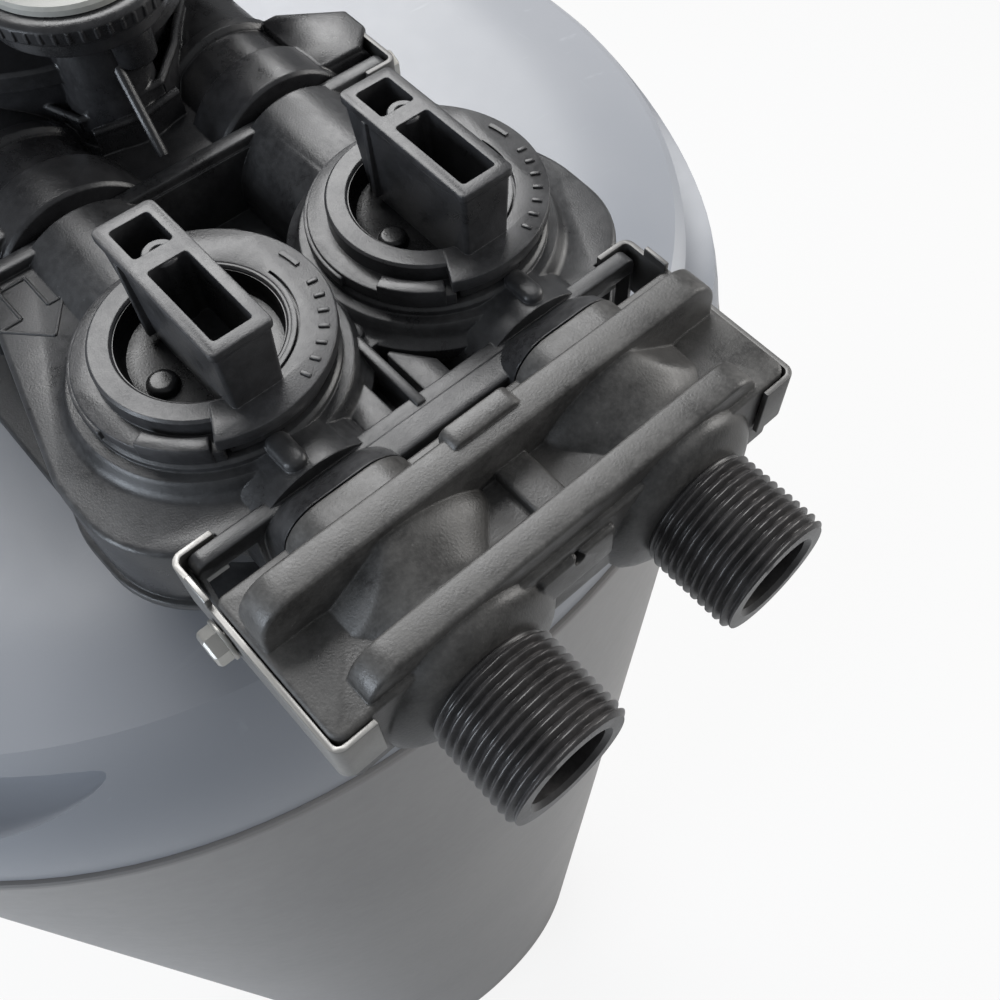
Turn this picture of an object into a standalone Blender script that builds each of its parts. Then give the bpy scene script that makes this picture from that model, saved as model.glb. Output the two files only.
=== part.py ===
"""Cabinet water softener: tall squarish salt cabinet with a valve head and a two-knob bypass on its deck.

Metres, +Z up, origin at the middle of the cabinet's base. The ports leave the rear, which faces +Y, and the
control panel faces -Y. The valve group is placed from an empty whose origin is where the two port axes'
plane, the mirror plane and the line through both bypass knobs meet.
"""
import math

import bmesh
import bpy
from mathutils import Matrix, Vector

# Clearances
GAP = 0.0003            # between faces that touch on the real object
SLIDE_FIT = 0.0004      # round a button, a rotor or a float
CUT_OVER = 0.002        # how far a cutter runs past the face that it opens

# Cabinet
HALF_WIDTH = 0.2075
REAR_DEPTH = 0.202      # from the widest line to the rear of the top
FRONT_DEPTH = 0.238     # from the widest line to the front of the top
SQUARENESS = 2.26       # exponent of the plan's superellipse
DECK_Z = 1.110
RIM_DROP = 0.055        # from the deck down to the cover's lower edge
SHOULDER_RUN = 0.040    # how far the shoulder comes in by the deck
WALL_TAPER = 0.034      # metres in per metre down
WALL_STEP = 0.0025      # how far the tub stands out under the cover's edge
TANK_WALL = 0.004
COVER_WALL = 0.0042
FOOT_RADIUS = 0.030
PLAN_STEPS = 32
SHOULDER_STEPS = 3
COVER_OVERLAP = 0.009   # how far the tub's lip stands up inside the cover
LIP_EASE = SHOULDER_RUN * COVER_OVERLAP / RIM_DROP / 4   # the shoulder has come in this far by there

# Hand grips that follow the shoulder's plan
GRIP_START = math.radians(58)
GRIP_END = math.radians(4)
GRIP_REACH = 0.022
GRIP_HEIGHT = 0.032
GRIP_INSET = 0.012      # from the rim's plan to the middle of the scoop
GRIP_WALL = 0.0035
GRIP_DROP = 0.024       # below the deck
GRIP_STEPS = 6

# Salt opening and lid
SALT_WIDTH = 0.180
SALT_DEPTH = 0.078
SALT_CORNER = 0.026
SALT_FRONT = 0.024      # land in front of the opening
COAMING_WALL = 0.004
COAMING_HEIGHT = 0.010
LID_WALL = 0.003
LID_TOP = 0.004
LID_CLEARANCE = 0.001
LID_SKIRT = 0.005       # from the deck up to the skirt's lower edge
HINGE_HEIGHT = 0.008
HINGE_X = 0.060
KNUCKLE_RADIUS = 0.0045
KNUCKLE_LENGTH = 0.030
KNUCKLE_SINK = 0.001    # how far a knuckle runs into the lid's skirt
HINGE_PIN_RADIUS = 0.0017
LUG_WIDTH = 0.006

# Resin vessel
VESSEL_RADIUS = 0.1035
VESSEL_WALL = 0.004
VESSEL_NECK_RADIUS = 0.038
VESSEL_NECK_HEIGHT = 0.022
VESSEL_DOME = 0.055
BOOT_HEIGHT = 0.060
BOOT_WALL = 0.004
RISER_RADIUS = 0.0135
RISER_BORE = 0.0110
BASKET_RADIUS = 0.024
BASKET_HEIGHT = 0.060
RESIN_HEIGHT = 0.560

# Brine well
WELL_X = 0.075
WELL_Y = -0.108         # from the base's middle
WELL_RADIUS = 0.038
WELL_WALL = 0.0025
WELL_FOOT = 0.018       # radius of its narrowed foot
WELL_TOP = 1.030
WELL_CAP_HEIGHT = 0.014
ROD_RADIUS = 0.003
FLOAT_RADIUS = 0.024
FLOAT_HEIGHT = 0.060
FLOAT_Z = 0.300
FLOAT_TRAVEL = 0.060
ROD_FOOT = 0.060

# Overflow on the side away from the photograph
OVERFLOW_Z = 0.930
OVERFLOW_RADIUS = 0.008
OVERFLOW_FLANGE = 0.014
OVERFLOW_REACH = 0.026
OVERFLOW_DROP = 0.030

# Valve group, from the datum
KNOB_Y = 0.155          # knob line behind the base's middle
PORT_HEIGHT = 0.050     # port axes above the deck
PORT_SPACING = 0.0646
VALVE_Y = -0.137        # vessel and valve centre
BORE = 0.01065
COUPLING_RADIUS = 0.0145
COUPLING_DEPTH = 0.009

# Flange joints: the plates of both joints are alike
FLANGE_HALF = 0.065
FLANGE_TOP = 0.0175
FLANGE_BOTTOM = -0.0070
REAR_JOINT = 0.050
FRONT_JOINT = -0.0625
BYPASS_FLANGE = 0.0045  # thickness of the bypass's end plates
REAR_FLANGE_GAP = 0.0085
JOINT_RADIUS = 0.024
EAR_WIDTH = 0.023
EAR_DEPTH = 0.0165

# Bypass body
BODY_TOP = 0.015
BODY_BOTTOM = -0.010
BODY_SKIN = 0.005
BODY_HALF = 0.075
BODY_REAR = 0.0395
CHAMBER_RADIUS = 0.028
CHAMBER_TOP = 0.022
CHAMBER_BOTTOM = -0.029
CHAMBER_BORE = 0.022
CHAMBER_FLOOR = -0.025
COLLAR_RADIUS = 0.033
COLLAR_TOP = 0.0195
TUBE_RADIUS = 0.0215

# Bypass knobs
CAP_RADIUS = 0.0245
CAP_TOP = 0.031
DISH_RADIUS = 0.019
DISH_FLOOR = 0.0250
FLANGE_RADIUS = 0.0304
FLANGE_THICK = 0.004
HANDLE_WIDTH = 0.0142
HANDLE_FRONT = -0.0198
HANDLE_REAR = 0.0240
HANDLE_TOP = 0.0517
HANDLE_WALL = 0.0026
POCKET_FLOOR = 0.033

# Rear manifold
PLATE_HALF = 0.066
PLATE_TOP = 0.0194
PLATE_REAR = 0.091
RIDGE_CORNER = 0.009
RIDGE_FRONT = 0.059
RIDGE_THICK = 0.0085
RIDGE_HALF = 0.0648
RIDGE_TOP = 0.033
BACK_RIDGE_FRONT = 0.0815
BACK_RIDGE_THICK = 0.008
BACK_RIDGE_HALF = 0.0570
BACK_RIDGE_TOP = 0.026
BULGE_FRONT = 0.0305
BULGE_REAR = 0.0240
ROOT_RADIUS = 0.0215
ROOT_END = 0.0955
THREAD_RADIUS = 0.0162
PORT_END = 0.1217

# Stamped clips and their screws
CLIP_THICK = 0.0015
CLIP_TOP = 0.0180
CLIP_BOTTOM = 0.0020
CLIP_RETURN = 0.009
CLIP_CORNER = 0.003
SCREW_RADIUS = 0.0018
SCREW_LENGTH = 0.011
SCREW_HEAD = 0.0046
SCREW_HEAD_HEIGHT = 0.0045
SCREW_INSET = 0.0032    # from the joint into the plate that takes the screw
SCREW_Z = 0.0082

# Valve head
BARREL_RADIUS = 0.041
BARREL_TOP = 0.034
COLLAR_NECK = 0.046
DRUM_Y = -0.094
DRUM_RADIUS = 0.024
DRUM_TOP = 0.052
DRUM_CAP_RADIUS = 0.027
DRUM_CAP_HEIGHT = 0.008
HEAD_HALF = 0.072
HEAD_FRONT = -0.206
HEAD_REAR = -0.126
HEAD_TOP = 0.100
HEAD_WALL = 0.003
PANEL_WALL = 0.010
WINDOW_WIDTH = 0.060
WINDOW_HEIGHT = 0.022
WINDOW_DEPTH = 0.002
WINDOW_Z = 0.080
BUTTON_RADIUS = 0.006
BUTTON_DEPTH = 0.0075
BUTTON_POCKET = 0.008
BUTTON_PROUD = 0.002
BUTTON_Z = 0.054
BUTTON_PITCH = 0.024
BUTTON_NAMES = ("button_down", "button_up", "button_set", "button_regenerate")
ELBOW_RADIUS = 0.0075
DECK_PLATE_HALF = 0.074
DECK_PLATE_FRONT = -0.192
DECK_PLATE_REAR = 0.025
DECK_PLATE_CORNER = 0.038
DECK_PLATE_THICK = 0.003

RIM_Z = DECK_Z - RIM_DROP
PORT_Z = DECK_Z + PORT_HEIGHT
HALF_SPACING = PORT_SPACING / 2
WIDEST_Y = KNOB_Y + VALVE_Y
SIDES = (("left", 1), ("right", -1))


for old in list(bpy.data.objects):
    bpy.data.objects.remove(old, do_unlink=True)


def new_collection(name):
    """A collection of its own in the scene."""
    found = bpy.data.collections.new(name)
    bpy.context.scene.collection.children.link(found)
    return found


PARTS = new_collection("water_softener")
CUTTERS = new_collection("cutters")


def new_finish(name, colour, roughness, metallic=0.0):
    """A Principled material with one plain colour."""
    material = bpy.data.materials.new(name)
    material.use_nodes = True
    shader = material.node_tree.nodes["Principled BSDF"]
    shader.inputs["Base Color"].default_value = (*colour, 1.0)
    shader.inputs["Roughness"].default_value = roughness
    shader.inputs["Metallic"].default_value = metallic
    return material


BLACK = new_finish("black_filled_plastic", (0.018, 0.018, 0.020), 0.45)
DARK = new_finish("dark_plastic", (0.035, 0.035, 0.038), 0.50)
DECK_GREY = new_finish("blue_grey_plastic", (0.30, 0.33, 0.37), 0.38)
WALL_GREY = new_finish("warm_grey_plastic", (0.28, 0.27, 0.26), 0.42)
STEEL = new_finish("stainless_steel", (0.62, 0.62, 0.62), 0.25, 1.0)
CLEAR = new_finish("dark_window", (0.02, 0.03, 0.04), 0.10)
VESSEL_BLUE = new_finish("wound_glass_vessel", (0.05, 0.12, 0.20), 0.55)
WHITE = new_finish("white_plastic", (0.75, 0.75, 0.72), 0.50)
RESIN = new_finish("resin_beads", (0.42, 0.22, 0.06), 0.85)

DATUM = bpy.data.objects.new("valve_datum", None)
DATUM.location = (0.0, KNOB_Y, PORT_Z)
PARTS.objects.link(DATUM)


def place(name, mesh, finish, origin, parent):
    """Links a mesh as a sub-part, or as a cutter where it has no finish."""
    thing = bpy.data.objects.new(name, mesh)
    thing.location = origin
    thing.parent = parent
    if finish is None:
        thing.hide_render = True
        thing.display_type = "WIRE"
        CUTTERS.objects.link(thing)
    else:
        mesh.materials.append(finish)
        PARTS.objects.link(thing)
    return thing


def from_bmesh(name, shape, finish, origin=(0, 0, 0), parent=None):
    """Turns a bmesh into a placed object."""
    mesh = bpy.data.meshes.new(name)
    bmesh.ops.recalc_face_normals(shape, faces=shape.faces)
    shape.to_mesh(mesh)
    shape.free()
    return place(name, mesh, finish, origin, parent)


def axis_turn(axis):
    """The turn that lays a Z shape along the named axis."""
    turns = {"X": Matrix.Rotation(math.pi / 2, 4, "Y"), "Y": Matrix.Rotation(-math.pi / 2, 4, "X")}
    return turns.get(axis, Matrix.Identity(4))


def box(name, low, high, finish=None, parent=None, round_edges=0.0):
    """A box between two corners, with its edges rounded if asked."""
    low, high = Vector(low), Vector(high)
    shape = bmesh.new()
    bmesh.ops.create_cube(shape, size=1.0)
    bmesh.ops.scale(shape, vec=high - low, verts=shape.verts)
    bmesh.ops.translate(shape, vec=(high + low) / 2, verts=shape.verts)
    thing = from_bmesh(name, shape, finish, (0, 0, 0), parent)
    if round_edges:
        soften(thing, round_edges)
    return thing


def cone(name, radius_1, radius_2, start, length, axis="Z", finish=None, parent=None, steps=28):
    """A cylinder or cone from a start point along an axis."""
    shape = bmesh.new()
    bmesh.ops.create_cone(shape, cap_ends=True, segments=steps, radius1=radius_1, radius2=radius_2, depth=length)
    bmesh.ops.translate(shape, vec=(0, 0, length / 2), verts=shape.verts)
    bmesh.ops.transform(shape, matrix=axis_turn(axis), verts=shape.verts)
    return from_bmesh(name, shape, finish, start, parent)


def turned(name, profile, finish=None, origin=(0, 0, 0), parent=None, steps=28):
    """A turned solid: the profile runs top to bottom down its outer side, as (radius, height)."""
    mesh = bpy.data.meshes.new(name)
    points = [(radius, 0.0, height) for radius, height in profile]
    mesh.from_pydata(points, [(at, at + 1) for at in range(len(points) - 1)], [])
    thing = place(name, mesh, finish, origin, parent)
    screw = thing.modifiers.new("turn", "SCREW")
    screw.steps = steps
    screw.render_steps = steps
    screw.use_merge_vertices = True
    screw.merge_threshold = 0.00005
    screw.use_smooth_shade = True
    return thing


def soften(thing, width, segments=2, angle=math.radians(40)):
    """Rounds the sharp edges."""
    bevel = thing.modifiers.new("rounding", "BEVEL")
    bevel.width = width
    bevel.segments = segments
    bevel.limit_method = "ANGLE"
    bevel.angle_limit = angle
    bevel.use_clamp_overlap = True
    return thing


def combine(thing, others, operation="DIFFERENCE"):
    """Cuts the others from a sub-part, or joins them to it."""
    for other in others:
        step = thing.modifiers.new(f"{operation.lower()}_{other.name}", "BOOLEAN")
        step.operation = operation
        step.object = other
        step.solver = "EXACT"
    return thing


def outline(name, corners, low, high, finish=None, parent=None, origin=(0, 0, 0), arc_steps=3):
    """An upright slab whose plan has rounded corners, given as (x, y, radius)."""
    points = rounded(corners, arc_steps)
    shape = bmesh.new()
    base = [shape.verts.new((x, y, low)) for x, y in points]
    face = shape.faces.new(base)
    grown = bmesh.ops.extrude_face_region(shape, geom=[face])
    top = [item for item in grown["geom"] if isinstance(item, bmesh.types.BMVert)]
    bmesh.ops.translate(shape, vec=(0, 0, high - low), verts=top)
    return from_bmesh(name, shape, finish, origin, parent)


def rounded(corners, arc_steps):
    """The points of a polygon whose corners are arcs."""
    points = []
    for at, (x, y, radius) in enumerate(corners):
        here = Vector((x, y))
        before = (Vector(corners[at - 1][:2]) - here).normalized()
        after = (Vector(corners[(at + 1) % len(corners)][:2]) - here).normalized()
        if radius <= 0:
            points.append(here)
            continue
        half_angle = before.angle(after) / 2
        centre = here + (before + after).normalized() * (radius / math.sin(half_angle))
        first = here + before * (radius / math.tan(half_angle)) - centre
        last = here + after * (radius / math.tan(half_angle)) - centre
        sweep = first.angle_signed(last)
        for step in range(arc_steps + 1):
            turn = Matrix.Rotation(-sweep * step / arc_steps, 2)
            points.append(centre + turn @ first)
    return points


def stand_up(thing, y_low):
    """Turns a slab made on XY so that its plan faces Y, from y_low on."""
    turn = Matrix.Rotation(math.pi / 2, 4, "X")
    thing.data.transform(turn)
    lowest = min(vertex.co.y for vertex in thing.data.vertices)
    thing.data.transform(Matrix.Translation((0, y_low - lowest, 0)))
    return thing


def plan_point(angle, inset):
    """One point of the cabinet's plan, set in by a distance, and the way out from it."""
    across, along = math.cos(angle), math.sin(angle)
    depth = REAR_DEPTH if along > 0 else FRONT_DEPTH
    scale = (abs(across) ** SQUARENESS + abs(along) ** SQUARENESS) ** (-1 / SQUARENESS)
    x, y = HALF_WIDTH * across * scale, depth * along * scale
    outward = Vector((math.copysign(abs(x / HALF_WIDTH) ** (SQUARENESS - 1) / HALF_WIDTH, x),
                      math.copysign(abs(y / depth) ** (SQUARENESS - 1) / depth, y))).normalized()
    return Vector((x, WIDEST_Y + y)) - inset * outward, outward


def plan_ring(inset, height):
    """One level of the cabinet: points of its superellipse, set in by a distance."""
    angles = [2 * math.pi * (step + 0.5) / PLAN_STEPS for step in range(PLAN_STEPS)]
    return [(*plan_point(angle, inset)[0], height) for angle in angles]


def loft(name, rings, finish=None):
    """A closed skin over rings of equal length, with both ends filled."""
    shape = bmesh.new()
    rows = [[shape.verts.new(point) for point in ring] for ring in rings]
    for lower, upper in zip(rows, rows[1:]):
        for at in range(len(lower)):
            after = (at + 1) % len(lower)
            shape.faces.new((lower[at], lower[after], upper[after], upper[at]))
    shape.faces.new(list(reversed(rows[0])))
    shape.faces.new(rows[-1])
    return from_bmesh(name, shape, finish)


def mirrored(maker):
    """Runs a maker for the left side, which is +X, and for the right side."""
    return [maker(side, sign) for side, sign in SIDES]


def wall_inset(height):
    """How far the tub's wall has come in at a height."""
    return WALL_TAPER * (RIM_Z - height) - WALL_STEP


def make_tub():
    """The open salt tub: tapered wall, rounded foot and a lip that the cover fits over."""
    lip = COVER_WALL + GAP + LIP_EASE
    ledge = RIM_Z - GAP
    outer = [(wall_inset(0) + FOOT_RADIUS, 0.0), (wall_inset(0) + FOOT_RADIUS * 0.3, FOOT_RADIUS * 0.3),
             (wall_inset(FOOT_RADIUS), FOOT_RADIUS), (-WALL_STEP, ledge)]
    upper = [(lip, ledge), (lip, ledge + COVER_OVERLAP), (lip + TANK_WALL, ledge + COVER_OVERLAP)]
    turn_in = ledge - 4 * (lip + TANK_WALL)
    inner = [(lip + TANK_WALL, ledge - lip), (TANK_WALL + wall_inset(turn_in), turn_in),
             (wall_inset(FOOT_RADIUS) + TANK_WALL, FOOT_RADIUS),
             (wall_inset(0) + FOOT_RADIUS + TANK_WALL, TANK_WALL)]
    tub = loft("salt_tub", [plan_ring(inset, height) for inset, height in outer + upper + inner], WALL_GREY)
    hole = cone("overflow_hole", OVERFLOW_RADIUS + GAP, OVERFLOW_RADIUS + GAP,
                (-HALF_WIDTH - 0.01, WIDEST_Y, OVERFLOW_Z), 0.04, "X", steps=20)
    return combine(tub, [hole])


def shoulder(extra, drop):
    """Levels of the cover from its rim over the soft shoulder to the deck."""
    levels = [(extra, RIM_Z if extra == 0 else RIM_Z - CUT_OVER)]
    for step in range(SHOULDER_STEPS + 1):
        angle = math.pi / 2 * step / SHOULDER_STEPS
        inset = extra + SHOULDER_RUN * (1 - math.cos(angle))
        height = RIM_Z + 0.004 + (RIM_DROP - 0.004 - drop) * math.sin(angle)
        levels.append((inset, height))
    return [plan_ring(inset, height) for inset, height in levels]


def grip_blank(name, sign, grow):
    """A curved scoop that follows the plan and runs out to nothing at both ends."""
    shape = bmesh.new()
    rows = []
    for step in range(1, GRIP_STEPS):
        way = 2 * step / GRIP_STEPS - 1
        size = math.sqrt(1 - way * way)
        centre, outward = plan_point(GRIP_START + (GRIP_END - GRIP_START) * (way + 1) / 2, GRIP_INSET)
        row = []
        for turn in range(6):
            angle = 2 * math.pi * turn / 6
            reach = (GRIP_REACH + grow) * size * math.cos(angle)
            rise = (GRIP_HEIGHT / 2 + grow) * size * math.sin(angle)
            spot = centre + outward * reach
            row.append(shape.verts.new((sign * spot.x, spot.y, DECK_Z - GRIP_DROP + rise)))
        rows.append(row)
    for before, after in zip(rows, rows[1:]):
        for at in range(6):
            shape.faces.new((before[at], before[(at + 1) % 6], after[(at + 1) % 6], after[at]))
    for row, angle in ((rows[0], GRIP_START), (rows[-1], GRIP_END)):
        spot = plan_point(angle, GRIP_INSET)[0]
        tip = shape.verts.new((sign * spot.x, spot.y, DECK_Z - GRIP_DROP))
        for at in range(6):
            shape.faces.new((row[at], row[(at + 1) % 6], tip))
    return from_bmesh(name, shape, None)


def salt_corners(grow):
    """The salt opening's plan, grown outwards."""
    half = SALT_WIDTH / 2 + grow
    front = WIDEST_Y - FRONT_DEPTH + SHOULDER_RUN + SALT_FRONT - grow
    rear = front + SALT_DEPTH + 2 * grow
    radius = SALT_CORNER + grow
    return [(-half, front, radius), (half, front, radius), (half, rear, radius), (-half, rear, radius)]


SALT_REAR = WIDEST_Y - FRONT_DEPTH + SHOULDER_RUN + SALT_FRONT + SALT_DEPTH
HINGE_Y = SALT_REAR + COAMING_WALL + LID_CLEARANCE + LID_WALL + KNUCKLE_RADIUS - KNUCKLE_SINK
LUG_RADIUS = KNUCKLE_RADIUS - KNUCKLE_SINK - GAP
HINGE_Z = DECK_Z + HINGE_HEIGHT


def make_cover():
    """The deck and its soft shoulder, with grips, the valve hole, the salt coaming and hinge lugs."""
    cover = loft("top_cover", shoulder(0.0, 0.0), DECK_GREY)
    hollow = loft("cover_hollow", shoulder(COVER_WALL, COVER_WALL))
    combine(hollow, [grip_blank(f"grip_pan_{side}", sign, GRIP_WALL) for side, sign in SIDES])
    combine(cover, [hollow])
    coaming = outline("coaming", salt_corners(COAMING_WALL), DECK_Z - COVER_WALL, DECK_Z + COAMING_HEIGHT)
    lugs = []
    for side, sign in SIDES:
        for end in (-1, 1):
            low = sign * HINGE_X + end * (KNUCKLE_LENGTH / 2 + GAP + LUG_WIDTH / 2) - LUG_WIDTH / 2
            lugs.append(box(f"hinge_lug_{side}_{end + 2}", (low, HINGE_Y - LUG_RADIUS, DECK_Z - COVER_WALL / 2),
                            (low + LUG_WIDTH, HINGE_Y + LUG_RADIUS, HINGE_Z)))
            lugs.append(cone(f"hinge_eye_{side}_{end + 2}", LUG_RADIUS, LUG_RADIUS, (low, HINGE_Y, HINGE_Z),
                             LUG_WIDTH, "X", steps=10))
    combine(cover, [coaming, *lugs], "UNION")
    holes = [outline("salt_hole", salt_corners(0.0), DECK_Z - 0.02, DECK_Z + 0.03)]
    holes.append(cone("valve_hole", COLLAR_NECK + 0.004, COLLAR_NECK + 0.004,
                      (0, WIDEST_Y, DECK_Z - 0.02), 0.04, steps=24))
    for side, sign in SIDES:
        holes.append(grip_blank(f"grip_{side}", sign, 0.0))
        holes.append(cone(f"pin_hole_{side}", HINGE_PIN_RADIUS + GAP, HINGE_PIN_RADIUS + GAP,
                          (sign * HINGE_X - 0.03, HINGE_Y, HINGE_Z), 0.06, "X", steps=8))
    return combine(cover, holes)


def make_lid():
    """The salt lid, a shallow cap over the coaming, with two knuckles on its rear edge."""
    grow = COAMING_WALL + LID_CLEARANCE
    low, high = DECK_Z + LID_SKIRT, DECK_Z + COAMING_HEIGHT + GAP + LID_TOP
    hinge = bpy.data.objects.new("lid_hinge", None)
    hinge.location = (0, HINGE_Y, HINGE_Z)
    PARTS.objects.link(hinge)
    origin = (0, -HINGE_Y, -HINGE_Z)
    lid = outline("salt_lid", salt_corners(grow + LID_WALL), low, high, DECK_GREY, hinge, origin)
    soften(lid, 0.0015, 1)
    knuckles = [cone(f"knuckle_{side}", KNUCKLE_RADIUS, KNUCKLE_RADIUS,
                     (sign * HINGE_X - KNUCKLE_LENGTH / 2, 0, 0), KNUCKLE_LENGTH, "X", parent=hinge, steps=12)
                for side, sign in SIDES]
    combine(lid, knuckles, "UNION")
    hollow = outline("lid_hollow", salt_corners(grow), low - CUT_OVER, high - LID_TOP, None, hinge, origin)
    bores = [cone(f"knuckle_bore_{side}", HINGE_PIN_RADIUS + GAP, HINGE_PIN_RADIUS + GAP,
                  (sign * HINGE_X - KNUCKLE_LENGTH, 0, 0), KNUCKLE_LENGTH * 2, "X", parent=hinge, steps=8)
             for side, sign in SIDES]
    return combine(lid, [hollow, *bores])


def make_hinge_pin(side, sign):
    """The pin that holds one pair of lugs and a knuckle."""
    length = KNUCKLE_LENGTH + 2 * (LUG_WIDTH + GAP)
    return cone(f"hinge_pin_{side}", HINGE_PIN_RADIUS, HINGE_PIN_RADIUS,
                (sign * HINGE_X - length / 2, HINGE_Y, HINGE_Z), length, "X", STEEL, steps=8)


VESSEL_FOOT = TANK_WALL + GAP + BOOT_WALL + GAP
VESSEL_TOP = PORT_Z - 0.045 - GAP
VESSEL_SHOULDER = VESSEL_TOP - VESSEL_NECK_HEIGHT


def dome_profile(radius, low, high, neck):
    """Half an outline of a domed vessel, from its neck down to the axis."""
    points = []
    for step in range(5):
        angle = math.pi / 2 * step / 4
        reach = neck + (radius - neck) * math.sin(angle)
        points.append((reach, high - VESSEL_DOME * (1 - math.cos(angle))))
    for step in range(5):
        angle = math.pi / 2 * step / 4
        points.append((radius * math.cos(angle), low + VESSEL_DOME * (1 - math.sin(angle))))
    points[-1] = (0.0, points[-1][1])
    return points


def make_vessel():
    """The resin vessel, its boot, the resin and the riser with both baskets."""
    centre = (0, WIDEST_Y, 0)
    outer = [(VESSEL_NECK_RADIUS, VESSEL_TOP)]
    outer += dome_profile(VESSEL_RADIUS, VESSEL_FOOT, VESSEL_SHOULDER, VESSEL_NECK_RADIUS)
    inner_neck = VESSEL_NECK_RADIUS - VESSEL_WALL
    inner = [(inner_neck, VESSEL_TOP)]
    inner += dome_profile(VESSEL_RADIUS - VESSEL_WALL, VESSEL_FOOT + VESSEL_WALL,
                          VESSEL_SHOULDER - VESSEL_WALL, inner_neck)
    turned("resin_vessel", list(reversed(inner)) + outer, VESSEL_BLUE, centre, steps=14)
    boot_low = TANK_WALL + GAP
    boot = turned("vessel_boot", [(0, boot_low + BOOT_HEIGHT), (VESSEL_RADIUS + BOOT_WALL, boot_low + BOOT_HEIGHT),
                                  (VESSEL_RADIUS + BOOT_WALL, boot_low), (0, boot_low)], BLACK, centre, steps=14)
    seat = [(0, boot_low + BOOT_HEIGHT + CUT_OVER), (VESSEL_RADIUS + GAP, boot_low + BOOT_HEIGHT + CUT_OVER),
            (VESSEL_RADIUS + GAP, VESSEL_FOOT + VESSEL_DOME)]
    seat += [(reach + GAP * (reach > 0), height - GAP) for reach, height in
             dome_profile(VESSEL_RADIUS, VESSEL_FOOT, VESSEL_SHOULDER, VESSEL_NECK_RADIUS)[6:]]
    combine(boot, [turned("boot_seat", seat, None, centre, steps=14)])
    riser_low = VESSEL_FOOT + VESSEL_WALL + 0.003
    riser_high = VESSEL_TOP - 0.002
    turned("riser_tube", [(RISER_BORE, riser_low + BASKET_HEIGHT), (RISER_BORE, riser_high),
                          (RISER_RADIUS, riser_high), (RISER_RADIUS, riser_low + BASKET_HEIGHT),
                          (RISER_BORE, riser_low + BASKET_HEIGHT)], WHITE, centre, steps=14)
    low_end = riser_low + BASKET_HEIGHT - GAP
    turned("lower_basket", [(0, low_end), (RISER_RADIUS + 0.002, low_end), (BASKET_RADIUS, low_end - 0.010),
                            (BASKET_RADIUS, riser_low + 0.010), (RISER_RADIUS, riser_low), (0, riser_low)],
           BLACK, centre, steps=14)
    bore = RISER_RADIUS + GAP
    top = VESSEL_TOP - 0.004
    turned("upper_basket", [(bore, top - 0.050), (bore, top), (BASKET_RADIUS + 0.004, top),
                            (BASKET_RADIUS, top - 0.050), (bore, top - 0.050)], BLACK, centre, steps=14)
    bed = dome_profile(VESSEL_RADIUS - VESSEL_WALL - GAP, VESSEL_FOOT + VESSEL_WALL + 2 * GAP, VESSEL_SHOULDER,
                       VESSEL_NECK_RADIUS)[5:9]
    room = BASKET_RADIUS + 0.002
    turned("resin_bed", [(bore, riser_low + BASKET_HEIGHT), (bore, RESIN_HEIGHT), (bed[0][0], RESIN_HEIGHT), *bed,
                         (room, bed[-1][1]), (room, riser_low + BASKET_HEIGHT), (bore, riser_low + BASKET_HEIGHT)],
           RESIN, centre, steps=14)


def make_brine_well():
    """The brine well with its cap, the rod that hangs from it and the safety float on the rod."""
    centre = (WELL_X, WELL_Y, 0)
    low = FOOT_RADIUS + GAP
    inner = WELL_RADIUS - WELL_WALL
    foot = TANK_WALL + GAP
    turned("brine_well", [(inner, low), (inner, WELL_TOP), (WELL_RADIUS, WELL_TOP), (WELL_RADIUS, low),
                          (WELL_FOOT, foot), (WELL_FOOT - WELL_WALL, foot), (inner, low)], WHITE, centre, steps=14)
    cap_low, cap_high = WELL_TOP - WELL_CAP_HEIGHT * 0.6, WELL_TOP + GAP + WELL_WALL
    cap_reach = WELL_RADIUS + GAP + WELL_WALL
    turned("well_cap", [(0, WELL_TOP + GAP), (WELL_RADIUS + GAP, WELL_TOP + GAP), (WELL_RADIUS + GAP, cap_low),
                        (cap_reach, cap_low), (cap_reach, cap_high), (0, cap_high)][::-1],
           WHITE, centre, steps=14)
    stop = FLOAT_Z - GAP
    turned("float_rod", [(0, WELL_TOP), (ROD_RADIUS, WELL_TOP), (ROD_RADIUS, stop), (ROD_RADIUS * 2, stop),
                         (ROD_RADIUS * 2, stop - 0.008), (ROD_RADIUS, stop - 0.008), (ROD_RADIUS, ROD_FOOT),
                         (0, ROD_FOOT)], WHITE, centre, steps=14)
    bore = ROD_RADIUS + SLIDE_FIT
    turned("brine_float", [(bore, 0), (bore, FLOAT_HEIGHT), (FLOAT_RADIUS * 0.8, FLOAT_HEIGHT),
                           (FLOAT_RADIUS, FLOAT_HEIGHT * 0.8), (FLOAT_RADIUS, FLOAT_HEIGHT * 0.2),
                           (FLOAT_RADIUS * 0.8, 0), (bore, 0)], WHITE, (WELL_X, WELL_Y, FLOAT_Z), steps=12)


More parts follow.
